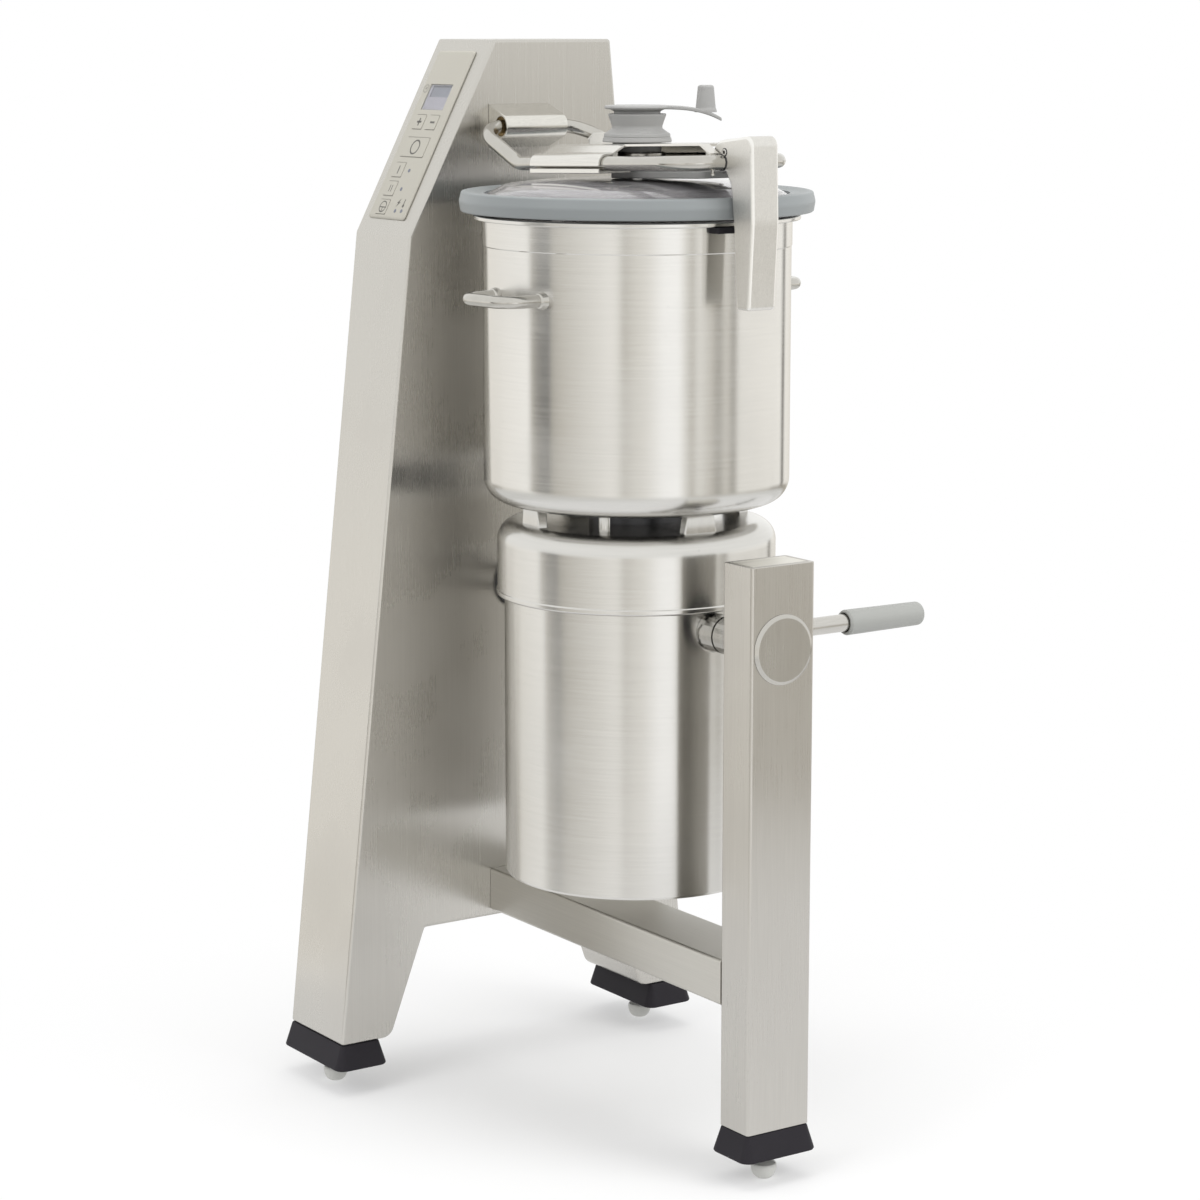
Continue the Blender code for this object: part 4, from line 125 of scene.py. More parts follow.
def inset(outline, distance):
    """Move each side of a closed outline inwards by a distance and join the sides at their mitres."""
    along = np.roll(outline, -1, 0) - outline
    normal = unit(np.stack([along[:, 1], -along[:, 0]], -1))
    before = np.roll(normal, 1, 0)
    area = np.sum(outline[:, 0] * np.roll(outline[:, 1], -1) - outline[:, 1] * np.roll(outline[:, 0], -1))
    mitre = (normal + before) / (1 + np.sum(normal * before, 1))[:, None]
    return outline - mitre * distance * np.sign(area)


def prism(outline, low, high, edge, plane="xy", steps=6):
    """A solid with a constant outline between two heights. Its two end faces meet the sides in a
    quarter circle of radius edge: at angle a the outline is drawn in by edge x (1 - sin a) and stands
    edge x (1 - cos a) from the end."""
    angle = np.linspace(0, math.pi / 2, steps + 1)
    depth = np.concatenate([[0], edge * (1 - np.cos(angle)), [edge * 1.2]])
    draw = np.concatenate([[edge * 1.2], edge * (1 - np.sin(angle)), [0]])
    rows = [raised(inset(outline, d), low + h) for d, h in zip(draw, depth)]
    rows += [raised(inset(outline, d), high - h) for d, h in zip(draw[::-1], depth[::-1])]
    order = {"xy": (0, 1, 2), "yz": (2, 0, 1), "xz": (0, 2, 1)}[plane]
    return np.array(rows)[:, :, order]


def placed(name, data):
    """A new object in the scene."""
    piece = bpy.data.objects.new(name, data)
    bpy.context.scene.collection.objects.link(piece)
    return piece


def show(name, shape, body, material, node=None, place=None, **how):
    """Put a mesh, or the skin of a list of grids, in the scene as a piece that rides on a body and may
    stand for a CAD node."""
    mesh = skin(name, *shape, **how) if isinstance(shape, list) else shape
    if place is not None:
        mesh.transform(place)
    mesh.materials.append(material)
    piece = placed(name, mesh)
    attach(piece, body)
    if node:
        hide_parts(node)
    return mesh


class Graph:
    """Short calls that add a shader node to a tree and return one of its outputs, or with out=None all
    of them. Values are given by name or in order: a socket is linked, and anything else is set."""

    def __init__(self, tree):
        self.tree = tree

    def put(self, sockets, values):
        for label, value in values.items() if isinstance(values, dict) else enumerate(values):
            if isinstance(value, bpy.types.NodeSocket):
                self.tree.links.new(value, sockets[label])
            else:
                sockets[label].default_value = value

    def add(self, kind, values=(), out=0, **settings):
        node = self.tree.nodes.new("ShaderNode" + kind)
        for label, setting in settings.items():
            setattr(node, label, setting)
        self.put(node.inputs, values)
        return node.outputs if out is None else node.outputs[out]

    def maths(self, operation, *values):
        return self.add("Math", values, operation=operation)

    def times(self, first, second, plus=0.0):
        """first x second + plus."""
        return self.maths("MULTIPLY_ADD", first, second, plus)

    def radius(self, x, y):
        """The distance from the origin: the root of x squared plus y squared."""
        return self.maths("SQRT", self.times(x, x, self.times(y, y)))

    def noise(self, vector, scale, detail, roughness):
        values = {"Vector": vector, "Scale": scale, "Detail": detail, "Roughness": roughness}
        return self.add("TexNoise", values)

    def spread(self, value, low, high):
        """0 at low and 1 at high, smooth in between and clamped."""
        values = {"Value": value, "From Min": low, "From Max": high}
        return self.add("MapRange", values, interpolation_type="SMOOTHSTEP")

    def blend(self, share, first, second):
        """Mix two colours by a share."""
        first, second = ((*c, 1) if isinstance(c, tuple) else c for c in (first, second))
        return self.add("Mix", {0: share, 6: first, 7: second}, 2, data_type="RGBA")

    def bump(self, height, strength, distance):
        return self.add("Bump", {"Height": height, "Strength": strength, "Distance": distance})

    def group(self, effect, **values):
        return self.add("Group", values, None, node_tree=effect)


def new_effect(name, amount, *outputs):
    """A shared effect: a node group that reads a vector and an amount and puts out masks or heights."""
    tree = bpy.data.node_groups.new(name, "ShaderNodeTree")
    tree.interface.new_socket("Vector", in_out="INPUT", socket_type="NodeSocketVector")
    tree.interface.new_socket(amount, in_out="INPUT", socket_type="NodeSocketFloat").default_value = 1.0
    for label in outputs:
        tree.interface.new_socket(label, in_out="OUTPUT", socket_type="NodeSocketFloat")
    return Graph(tree), tree.nodes.new("NodeGroupInput").outputs, tree.nodes.new("NodeGroupOutput").inputs


def brushed_group():
    """Brushed grain: streaks of several widths on a vector that is already stretched along the grain."""
    graph, given, result = new_effect("brushed_grain", "Contrast", "Streaks", "Height")
    fine = graph.noise(given["Vector"], 1.0, 3.0, 0.7)
    broad = graph.noise(given["Vector"], 0.25, 3.0, 0.7)
    mixed = graph.times(broad, 0.3, graph.times(fine, 0.7))
    centred = graph.times(graph.maths("SUBTRACT", mixed, 0.5), given["Contrast"])
    graph.put(result, {"Streaks": graph.times(centred, 2.2, 0.5), "Height": fine})
    return graph.tree


def handling_group():
    """Handling marks: broad cloudy smears and a few small spots, as masks from 0 to 1."""
    graph, given, result = new_effect("handling_marks", "Amount", "Smears", "Spots")
    smears = graph.spread(graph.noise(given["Vector"], 7.0, 5.0, 0.55), 0.42, 0.72)
    spots = graph.spread(graph.noise(given["Vector"], 190.0, 2.0, 0.5), 0.72, 0.8)
    for label, mask in (("Smears", smears), ("Spots", spots)):
        graph.put(result, {label: graph.times(mask, given["Amount"])})
    return graph.tree


brushed = brushed_group()
handled = handling_group()


def new_material(name):
    """A material, its graph, the inputs of its Principled shader, and Object coordinates."""
    material = bpy.data.materials.new(name)
    material.use_nodes = True
    graph = Graph(material.node_tree)
    return material, graph, graph.tree.nodes["Principled BSDF"].inputs, graph.add("TexCoord", out="Object")


def shade(colour, factor):
    """A colour made lighter or darker."""
    return tuple(min(1.0, c * factor) for c in colour)


def steel(name, colour, roughness, grain, across=1100, along=9, spreading=0.7, contrast=1, relief=0.12):
    """Stainless steel with grain along x, y or z, or round the machine's upright axis. The noise is
    stretched along the grain, and reflections spread across it through the anisotropic highlight."""
    material, graph, shader, place = new_material(name)
    centre = (-axis_x, -axis_y, 0) if grain == "round" else (0, 0, 0)
    centred = graph.add("Mapping", {"Vector": place, "Location": centre})
    x, y, z = graph.add("SeparateXYZ", [centred], None)
    if grain == "round":
        depth = graph.maths("SUBTRACT", z, graph.radius(x, y))
        stretched = [graph.times(x, along), graph.times(y, along), graph.times(depth, across)]
        tangent = [graph.times(y, -1.0), x]
    else:
        stretched = [graph.times(v, along if g == grain else across) for v, g in zip((x, y, z), "xyz")]
        tangent = [float(g == grain) for g in "xyz"]
    lay = graph.group(brushed, Vector=graph.add("CombineXYZ", stretched), Contrast=contrast)
    marked = graph.group(handled, Vector=place)
    base = graph.blend(lay["Streaks"], shade(colour, 0.86), shade(colour, 1.07))
    rough = graph.times(lay["Streaks"], 0.1, roughness - 0.05)
    spaces = {"vector_type": "VECTOR", "convert_from": "OBJECT", "convert_to": "WORLD"}
    values = {
        "Base Color": graph.blend(graph.times(marked["Spots"], 0.25), base, shade(colour, 0.6)),
        "Metallic": 1.0,
        "Roughness": graph.times(marked["Smears"], 0.05, rough),
        "Normal": graph.bump(lay["Height"], relief, 0.0002),
        "Anisotropic": spreading,
        "Anisotropic Rotation": 0.25,
        "Tangent": graph.add("VectorTransform", [graph.add("CombineXYZ", tangent)], **spaces),
    }
    graph.put(shader, values)
    return material


column_steel = steel("column_steel", (0.585, 0.568, 0.532), 0.26, "z", 1500, contrast=0.4, relief=0.045)
low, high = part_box("column_shell")
column_top, cover_plane = high.z, low.x
column_corners = [
    (-0.03, 1.25), (-0.148, 1.024), (-0.254, 0.062), (-0.185, 0.062), (-0.136, 0.191),
    (0.136, 0.191), (0.182, 0.062), (0.251, 0.062), (0.135, 1.25),
]
column_radii = [0.004, 0.004, 0.004, 0.016, 0.004, 0.004, 0.016, 0.004, 0.004]
column_outline = rounded(column_corners, column_radii) + (axis_y, 0)
column_grid = prism(column_outline, cover_plane + 0.0012, high.x, 0.0032, "yz")
show("column_skin", [column_grid], "machine", column_steel, "column_shell")
cover_outline = rounded(inset(np.array(column_corners), 0.0045), 0.002) + (axis_y, 0)
cover_grid = prism(cover_outline, cover_plane, cover_plane + 0.002, 0.0005, "yz", 2)
show("column_cover_skin", [cover_grid], "machine", column_steel, "column_side_cover")


# The control panel: a plate faced with printed beige film on the sloping front. Its window covers a
# small liquid-crystal display, and its keys and lamps are marked in grey ink.


def dress(material, *names):
    """Give a material to CAD nodes that are carried over."""
    for name in names:
        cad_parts[name].material_slots[0].material = material


def moulded(name, colour, roughness, fleck=0.12, grain=900.0, relief=0.15):
    """Moulded plastic, film or rubber: fine mottling in colour and gloss, with a fine pebbled relief."""
    material, graph, shader, place = new_material(name)
    pebble = graph.noise(place, grain, 3.0, 0.6)
    marked = graph.group(handled, Vector=place)
    share = graph.times(pebble, 0.5, graph.times(graph.noise(place, 22.0, 4.0, 0.55), 0.5))
    values = {
        "Base Color": graph.blend(share, shade(colour, 1 - fleck), shade(colour, 1 + fleck)),
        "Roughness": graph.times(pebble, 0.08, graph.times(marked["Smears"], 0.08, roughness)),
        "Normal": graph.bump(pebble, relief, 0.0001),
    }
    graph.put(shader, values)
    return material


def cut_away(mesh, *cutters, sharp=32):
    """Cut solids out of a mesh and shade it again; the cutters are removed afterwards."""
    parts = [placed(f"cut_{index}", part) for index, part in enumerate((mesh, *cutters))]
    for tool in parts[1:]:
        cut = parts[0].modifiers.new("cut", "BOOLEAN")
        cut.object = tool
        cut.solver = "EXACT"
    view = bpy.context.evaluated_depsgraph_get()
    result = bpy.data.meshes.new_from_object(parts[0].evaluated_get(view))
    for part in parts:
        bpy.data.objects.remove(part)
    result.materials.clear()
    return smoothed(result, sharp)


def on_panel(across=0, down=0, lift=0):
    """The place of a piece drawn in millimetres on the panel, measured from the plate's top left corner
    along the slope."""
    lean = math.atan2(0.226, 0.118)
    slope_down = np.array((0, -math.cos(lean), -math.sin(lean)))
    outward = np.array((0, -math.sin(lean), math.cos(lean)))
    top = np.array((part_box("control_panel")[0].x, axis_y - 0.03, column_top)) * 1000
    point = top + (across, 0, 0) + slope_down * (16 + down) + outward * lift
    return Matrix.Scale(0.001, 4) @ Matrix.Translation(point.tolist()) @ Matrix.Rotation(lean, 4, "X")


def oblong(left, low, right, high):
    """The corners of a rectangle, counterclockwise."""
    return np.array([(left, low), (right, low), (right, high), (left, high)])


def slab(outline, low, high):
    """A flat outline at two heights, as a grid of points."""
    return np.array([raised(outline, low), raised(outline, high)])


def sideways(path):
    """The direction to the left of an open flat path, at each of its points."""
    along = np.gradient(path, axis=0)
    return unit(np.stack([-along[:, 1], along[:, 0]], -1))


def stroke(path, width, closed=False):
    """A line of ink along a flat path in millimetres: a thin strip of constant width, as a grid."""
    path = np.array(path, float)
    if closed:
        return np.concatenate([slab(inset(path, -width / 2), 0, 0.06), slab(inset(path, width / 2), 0.06, 0)])
    side = sideways(path) * width / 2
    return slab(np.concatenate([path + side, (path - side)[::-1]]), 0, 0.06)


def circle(radius, centre=(0, 0), steps=40):
    """Points round a circle, counterclockwise."""
    angle = np.linspace(0, 2 * math.pi, steps, endpoint=False)
    return np.stack([centre[0] + radius * np.cos(angle), centre[1] + radius * np.sin(angle)], -1)


film = moulded("panel_film", (0.455, 0.437, 0.382), 0.42, fleck=0.05, grain=1500.0, relief=0.05)
ink = moulded("panel_ink", (0.115, 0.11, 0.1), 0.55, fleck=0.15)
key_edge_shade = moulded("key_edge_shade", (0.24, 0.23, 0.205), 0.55, fleck=0.15)
plate_lift = 2.76
keys = {
    "plus": (26.0, 94.6, [stroke([(-5, 0), (5, 0)], 2.5), stroke([(0, -5), (0, 5)], 2.5)]),
    "minus": (55.7, 94.6, [stroke([(-5, 0), (5, 0)], 2.6)]),
    "stop": (41.0, 127.3, [stroke(circle(8.7), 2.1, closed=True)]),
    "speed_one": (26.0, 157.3, [stroke([(0, -5.2), (0, 5.2)], 2.1)]),
    "speed_two": (26.0, 181.6, [stroke([(x, -4.4), (x, 4.4)], 1.4) for x in (-2.3, 2.3)]),
    "pulse": (26.0, 205.6, [stroke(circle(6.8), 1.4, closed=True)]),
}
holes = [(41.0, 61.6, 49.5, 33.6)]
key_edge_strokes = []
for name, (across, down, mark) in keys.items():
    place = on_panel(across, down, plate_lift + 0.4)
    show("mark_key_" + name, mark, name + "_key", ink, place=place, ring=name in ("stop", "pulse"))
    dress(film, "key_" + name)
    width, height = (51.0, 25.6) if name == "stop" else (22.0, 19.0)
    holes.append((across, down, width, height))
    # Grey lines along the top and bottom edge of each key are painted shade at the key's raised edges.
    for side, reach in ((1, width / 2 - 1), (-1, width / 2)):
        level = -down + side * (height / 2 + 0.35)
        line = stroke([(across - width / 2, level), (across + reach, level)], 0.42)
        key_edge_strokes.append(line + (0, 0, plate_lift))
show("key_edge_shade_lines", key_edge_strokes, "machine", key_edge_shade, place=on_panel())
hands = [stroke([(-6.4, -0.6), (6.4, -0.6)], 1.3), stroke([(0, -0.6), (0, -6.4)], 1.3)]
show("mark_pulse_hands", hands, "pulse_key", ink, place=place)

plate_outline = rounded([(0, 0), (0, -220), (82, -220), (82, 0)], 4.2)
angle = np.linspace(0, math.pi / 2, 8)
plate_rows = [raised(plate_outline, 0.26)]
for draw, rise in zip(3.6 * (1 - np.cos(angle)), 0.6 + (plate_lift - 0.6) * np.sin(angle)):
    plate_rows.append(raised(inset(plate_outline, draw), rise))
cutters = []
for across, down, width, height in holes:
    hole = oblong(-width / 2, -height / 2, width / 2, height / 2) + (across, -down)
    cutters.append(skin("panel_hole", slab(rounded(hole, 1.2, steps=4), -2, 6)))
panel = cut_away(skin("panel_skin", np.array(plate_rows), sharp=50), *cutters)
show("panel_skin", panel, "machine", film, "control_panel", on_panel())
dress(moulded("board_green", (0.03, 0.16, 0.07), 0.5, fleck=0.3, grain=400.0), "keypad_board")

lamp_lens = moulded("lamp_lens", (0.15, 0.16, 0.2), 0.25, fleck=0.1)
lamps = ((49.8, -157.6), (49.7, -181.7), (56.6, -209.6), (70.6, -209.2))
lenses = [slab(circle(2.4, centre, 24), 0, 0.2) for centre in lamps]
show("lamp_lenses", lenses, "machine", lamp_lens, place=on_panel(lift=plate_lift))
bolt = [(60.4, -193.6), (53.8, -199.4), (57.0, -199.6), (54.2, -204.6), (61.0, -198.2), (57.8, -198.2)]
signs = [slab(np.array(bolt), 0, 0.06), stroke([(69.6, -194), (69.6, -202)], 1.4)]
signs += [slab(circle(2.0, (69.6, -202.6), 24), 0, 0.06), slab(circle(1.1, (9, -51), 24), 0, 0.06)]
signs += [stroke([(9, -51), (11.4, -49.6)], 0.8)]
for start, end in ((30, 33.5), (60.4, 64.2)):
    signs += [stroke([(start, level), (end, level)], 0.45) for level in (-87.4, -89.6)]
show("panel_signs", signs, "machine", ink, place=on_panel(lift=plate_lift + 0.1))
clock = stroke(circle(4.9, (9, -51)), 0.75, closed=True)
show("clock_ring", [clock], "machine", ink, place=on_panel(lift=plate_lift), ring=True)


def plate(width, height, low, high, centre=(0, 0), radius=0.5, edge=0.2):
    """A thin rounded rectangle between two heights, in millimetres, as a grid of points."""
    corners = oblong(-width / 2, -height / 2, width / 2, height / 2) + centre
    return prism(rounded(corners, radius, steps=4), low, high, edge, steps=3)


def clear(name, tint, roughness, clearness=1.0, streaks=0.0):
    """Clear moulded plastic with faint wiping marks in its gloss and, with streaks, rings of fine wear
    round the machine's upright axis."""
    material, graph, shader, place = new_material(name)
    marked = graph.group(handled, Vector=place)
    wiped = graph.blend(marked["Smears"], tint, shade(tint, 0.97))
    if streaks:
        x, y, _ = graph.add("SeparateXYZ", [place], None)
        x, y = graph.maths("SUBTRACT", x, axis_x), graph.maths("SUBTRACT", y, axis_y)
        rings = [graph.times(x, 9.0), graph.times(y, 9.0), graph.times(graph.radius(x, y), 210.0)]
        worn = graph.spread(graph.noise(graph.add("CombineXYZ", rings), 1.0, 5.0, 0.65), 0.4, 0.66)
        wiped = graph.blend(graph.times(worn, streaks), wiped, shade(tint, 0.45))
    graph.put(shader, {"Roughness": graph.times(marked["Smears"], 0.05, roughness)})
    graph.put(shader, {"Base Color": wiped, "Transmission Weight": clearness, "IOR": 1.49})
    return material


window_place = on_panel(41, 61.6)
display_pale = moulded("display_pale", (0.48, 0.47, 0.5), 0.25, fleck=0.05)
display_dark = moulded("display_dark", (0.055, 0.06, 0.075), 0.3, fleck=0.1)
cell_grey = moulded("display_cell", (0.3, 0.32, 0.36), 0.2, fleck=0.06)
digit_ink = moulded("digit_ink", (0.13, 0.14, 0.165), 0.3, fleck=0.06)
display_frame = plate(43.5, 15.0, 1.2, 1.35, (2.3, 8.0), edge=0.05)
display_cell = plate(39.6, 12.2, 1.35, 1.5, (4.1, 6.7), edge=0.05)
show("display_back", [plate(48.6, 32.7, 0.3, 1.2)], "machine", display_pale, place=window_place)
show("display_frame", [display_frame], "machine", display_dark, place=window_place)
show("display_cell", [display_cell], "machine", cell_grey, place=window_place)
bars = [(-2.1, 2.2, 1), (2.1, 2.2, 1), (-2.1, -2.2, 1), (2.1, -2.2, 1), (0, 4.4, 0), (0, 0, 0), (0, -4.4, 0)]
digits = []
for start in (-9.0, -0.4, 8.2, 16.8):
    for x, y, tall in bars:
        u, v = start + x + 0.2 * y, 6.7 + y
        ends = [(u, v - 1.7), (u, v + 1.7)] if tall else [(u - 1.6, v), (u + 1.6, v)]
        digits.append(stroke(ends, 1.05) + (0, 0, 1.52))
show("display_digits", digits, "machine", digit_ink, place=window_place)
window_clear = clear("window_clear", (0.93, 0.93, 0.96), 0.03)
glass = plate(48.7, 32.8, 1.9, 2.3, radius=2.5, edge=0.1)
show("display_glass", [glass], "machine", window_clear, "display_window", window_place)


# The cable gland: a black moulded nut, screwed into a hole low on the side of the column, where the
# supply cable goes in.

rubber = moulded("boot_rubber", (0.022, 0.02, 0.024), 0.5, fleck=0.3, grain=700.0, relief=0.25)
rubber.node_tree.nodes["Principled BSDF"].inputs["Specular IOR Level"].default_value = 0.15
dress(rubber, "cable_gland")


# The cross beam and the post: rectangular stainless tube, welded square. The post has a plate set into
# its top with a weld bead round it, and its sides show grinding marks along their length.

beam_steel = steel("beam_steel", (0.555, 0.54, 0.5), 0.3, "x", contrast=0.5, relief=0.05)
post_steel = steel("post_steel", (0.575, 0.557, 0.522), 0.28, "z", along=14, contrast=0.5, relief=0.05)
low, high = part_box("cross_beam")
beam = rounded(oblong(low.y, low.z, high.y, high.z), 0.0035)
show("beam_skin", [prism(beam, low.x, high.x, 0.0002, "yz", 1)], "machine", beam_steel, "cross_beam")
low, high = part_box("post_tube")
post = oblong(low.x, low.y, high.x, high.y)
post_grid = prism(rounded(post, 0.0035), low.z, high.z - 0.0004, 0.0008)
show("post_skin", [post_grid], "machine", post_steel, "post_tube")
seam = rounded(inset(post, 0.0052), 0.0015)
turns = np.linspace(0, 2 * math.pi, 10, endpoint=False)
bead = [raised(inset(seam, 0.0011 * math.cos(a)), high.z - 0.001 + 0.001 * math.sin(a)) for a in turns]
show("post_weld", [bead], "machine", post_steel, ring=True, sharp=80)
top_plate = prism(rounded(inset(post, 0.006), 0.0008), high.z - 0.002, high.z - 0.0002, 0.0003, steps=2)
# The top plate's grain runs across the post. Its much lighter colour is painted light on the top face.
top_steel_painted_light = steel("top_plate_steel_painted_light", (0.78, 0.76, 0.7), 0.33, "y", contrast=1.4)
show("post_top_plate", [top_plate], "machine", top_steel_painted_light)


# The pivot cap: a pressed steel cover with a turned bevel, pushed over the tilt bearing on the post's
# outer face. The steel bearings sit in the post and in the column.


def turned(profile, centre=(axis_x, axis_y, 0), along="z", steps=192):
    """A surface of revolution: the point (radius, height) at angle t stands at
    (radius x cos t, radius x sin t, height) in the frame of the axis along x, y or z."""
    grid = np.array([raised(circle(radius, steps=steps), height) for radius, height in profile])
    order = {"z": (0, 1, 2), "x": (2, 0, 1), "y": (1, 2, 0)}[along]
    return grid[:, :, order] + centre


low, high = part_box("pivot_cap")
tilt_z = (low.z + high.z) / 2
cap_radius = (high.z - low.z) / 2
face, back = 0.0033, 0.0003
profile = [(0, face, 0), (cap_radius - 0.004, face, 0.0015), (cap_radius, face - 0.0025, 0.001)]
profile = rounded([*profile, (cap_radius, back, 0), (0, back, 0)], closed=False, steps=5)
pivot_steel = steel("pivot_steel", (0.54, 0.525, 0.49), 0.24, "z", 1100, 20, 0.4, 0.4, 0.04)
pivot_grid = turned(profile, (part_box("post_tube")[1].x, axis_y, tilt_z), "x")
show("pivot_cap_skin", [pivot_grid], "machine", pivot_steel, "pivot_cap")
bright = steel("bright_steel", (0.62, 0.61, 0.585), 0.2, "z", 500, 30, spreading=0.3, contrast=0.5)
# Dark steel for the bearings and the rotor. It also serves as painted shade in the latch's screw seat and in
# the gap round its pivot.
dark_steel_and_painted_shade = steel("dark_steel_and_painted_shade", (0.1, 0.1, 0.105), 0.4, "z", spreading=0.2)
dress(dark_steel_and_painted_shade, "post_bearing", "column_bearing")


# The boots and feet: flared black rubber boots pushed over the leg ends, with translucent nylon
# levelling feet screwed in under them.


def arc(centre, radius, start, end, steps=14):
    """Points on an arc between two angles in degrees."""
    angle = np.radians(np.linspace(start, end, steps))
    return np.stack([centre[0] + radius * np.cos(angle), centre[1] + radius * np.sin(angle)], -1)


pale = moulded("foot_nylon", (0.6, 0.6, 0.57), 0.35, fleck=0.06)
flare = 0.009
boot_levels = [
    (0, 0.006), (0.0004, 0.0083), (0.0016, flare), (0.003, 0.0087), (0.0282, 0.0008),
    (0.0292, 0), (0.0297, -0.001), (0.0297, -0.003),
]
dome = arc((0, 0), 1, 90, 0) * (0.0085, -0.014) + (0.006, 0.014)
for end in ("front", "rear", "post"):
    low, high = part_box("boot_" + end)
    leg = rounded(oblong(low.x + flare, low.y + flare, high.x - flare, high.y - flare), 0.0035, steps=6)
    rows = [raised(inset(leg, -widen), low.z + height) for height, widen in boot_levels]
    show("boot_skin_" + end, [rows], "machine", rubber, "boot_" + end, sharp=60)
    low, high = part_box("foot_" + end)
    profile = [(0, 0), *dome, (0.0145, 0.0152), (0.0135, 0.017), (0.006, 0.02), (0.006, high.z), (0, high.z)]
    foot = turned(profile, ((low.x + high.x) / 2, (low.y + high.y) / 2, 0), steps=64)
    show("foot_skin_" + end, [foot], "machine", pale, "foot_" + end)


# The hinge housing: a steel wedge with a round nose, welded to the column. Its bronze bush is pressed
# into the bore.

cast = steel("cast_steel", (0.72, 0.705, 0.66), 0.22, "y", 500, 120, spreading=0.2, contrast=0.8)
hinge_x, hinge_z = -0.173, 1.15
low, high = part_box("hinge_housing")
wall, half, nose = low.x - hinge_x, 0.0255, 0.0145
tangent = 180 - math.degrees(math.atan2(half, -wall) + math.acos(nose / math.hypot(wall, half)))
outline = np.array([(wall, half), (wall, -half), *arc((0, 0), nose, -tangent, tangent, 40)])
bore = turned(oblong(0, low.y - 0.002, 0.0118, high.y + 0.002), (hinge_x, 0, hinge_z), "y", 64)
housing = prism(outline + (hinge_x, hinge_z), low.y, high.y, 0.0012, "xz", 3)
housing = cut_away(skin("hinge_housing_skin", housing), skin("hinge_bore", bore))
show("hinge_housing_skin", housing, "machine", cast, "hinge_housing")
dress(steel("bronze", (0.42, 0.3, 0.15), 0.35, "y", spreading=0.2), "hinge_bush")


# The motor housing: a rolled and brushed steel cylinder with a welded floor and a notch cut on each
# side for the trunnion. It holds the wound stator and the rotor.

motor_steel = steel("motor_steel", (0.665, 0.655, 0.63), 0.2, "round", 1500, 14, 0.85, 0.45)
low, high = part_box("motor_housing")
radius = (high.y - low.y) / 2
inner, tall = radius - 0.006, high.z - low.z
profile = [
    (0.0133, 0.002), (inner, 0.002), (inner, 0), (radius - 0.0007, 0), (radius, 0.002),
    (radius, 0.0026), (radius, tall), (inner, tall), (inner, 0.006), (0.0133, 0.006),
]
housing = skin("motor_skin", turned(profile, (axis_x, axis_y, low.z), steps=288), ring=True)
cutters = []
half = 0.0235
for side in (-1, 1):
    for cut in (circle(half, (axis_y, tilt_z), 64), oblong(axis_y - half, tilt_z, axis_y + half, 0.66)):
        notch = slab(cut, axis_x + side * 0.1475, axis_x + side * 0.165)
        cutters.append(skin("notch", notch[:, :, [2, 0, 1]]))
show("motor_skin", cut_away(housing, *cutters), "tilt_unit", motor_steel, "motor_housing")
dress(moulded("winding", (0.25, 0.13, 0.08), 0.5, fleck=0.3), "motor_stator")
dress(dark_steel_and_painted_shade, "motor_rotor", "upper_bearing")


# The motor cap: a spun cover with a rolled bead at its lower edge. The bowl stands on its four tapered
# blocks, round a centring ring, and a stud keeps it from turning.

low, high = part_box("motor_cap")
tall = 0.0862
top, block_top = low.z + tall, high.z
wall = radius + 0.008
bead, lining = wall + 0.0012, wall - 0.0025
shell = rounded([(0.026, tall, 0), (wall, tall, 0.023), (wall, 0.0074, 0)], closed=False, steps=20)
edge = [
    (wall, 0.03, 0), (wall, 0.0074, 0.0004), (bead, 0.0062, 0.0008), (bead, 0.0018, 0.0015),
    (wall - 0.002, 0, 0.0006), (radius + 0.0004, 0, 0), (radius + 0.0004, 0.0025, 0),
]
edge = rounded(edge, closed=False, steps=4)
inside = [(lining, 0.008, 0), (lining, tall - 0.0025, 0.0205), (0.026, tall - 0.0025, 0)]
inside = rounded(inside, closed=False, steps=10)
profile = [*shell[:-1], *edge[1:], (lining, 0.007), *inside[1:]]
cap_grid = turned(profile, (axis_x, axis_y, low.z), steps=288)
show("cap_skin", [cap_grid], "tilt_unit", motor_steel, "motor_cap", ring=True)
block = rounded(oblong(-0.006, -0.021, 0.006, 0.021), 0.0015, steps=4)
block_levels = [
    (top - 0.0015, 1.0, 0), (top + 0.0005, 0.99, 0), (block_top - 0.0012, 0.85, 0),
    (block_top - 0.0004, 0.845, 0.0004), (block_top, 0.84, 0.0012),
]
rows = [raised(inset(block * (1, narrow), draw) + (0.129, 0), z) for z, narrow, draw in block_levels]
blocks = []
for degrees in (-97, -3, 83, 177):
    spin = np.array(Matrix.Rotation(math.radians(degrees), 3, "Z"))
    blocks.append(np.array(rows) @ spin.T + (axis_x, axis_y, 0))
stud_place = arc((axis_x, axis_y), 0.108, -54, -54, 1)[0]
stud = [
    (0, block_top - 0.0003), (0.0052, block_top - 0.0003), (0.0062, block_top - 0.0008),
    (0.0065, block_top - 0.0016), (0.0065, top - 0.001), (0, top - 0.001),
]
blocks.append(turned(stud, (*stud_place, 0), steps=40))
show("cap_blocks", blocks, "tilt_unit", bright)
centring = rounded(oblong(0.034, top - 0.001, 0.054, block_top), [0, 0, 0.002, 0.002], steps=5)
show("centring_ring", [turned(centring)], "tilt_unit", dark_steel_and_painted_shade, ring=True)


# The trunnions, spacers and tilt lever: turned steel, fixed to the motor housing. The lever has a plain
# grey moulded grip that is pulled to unlock.

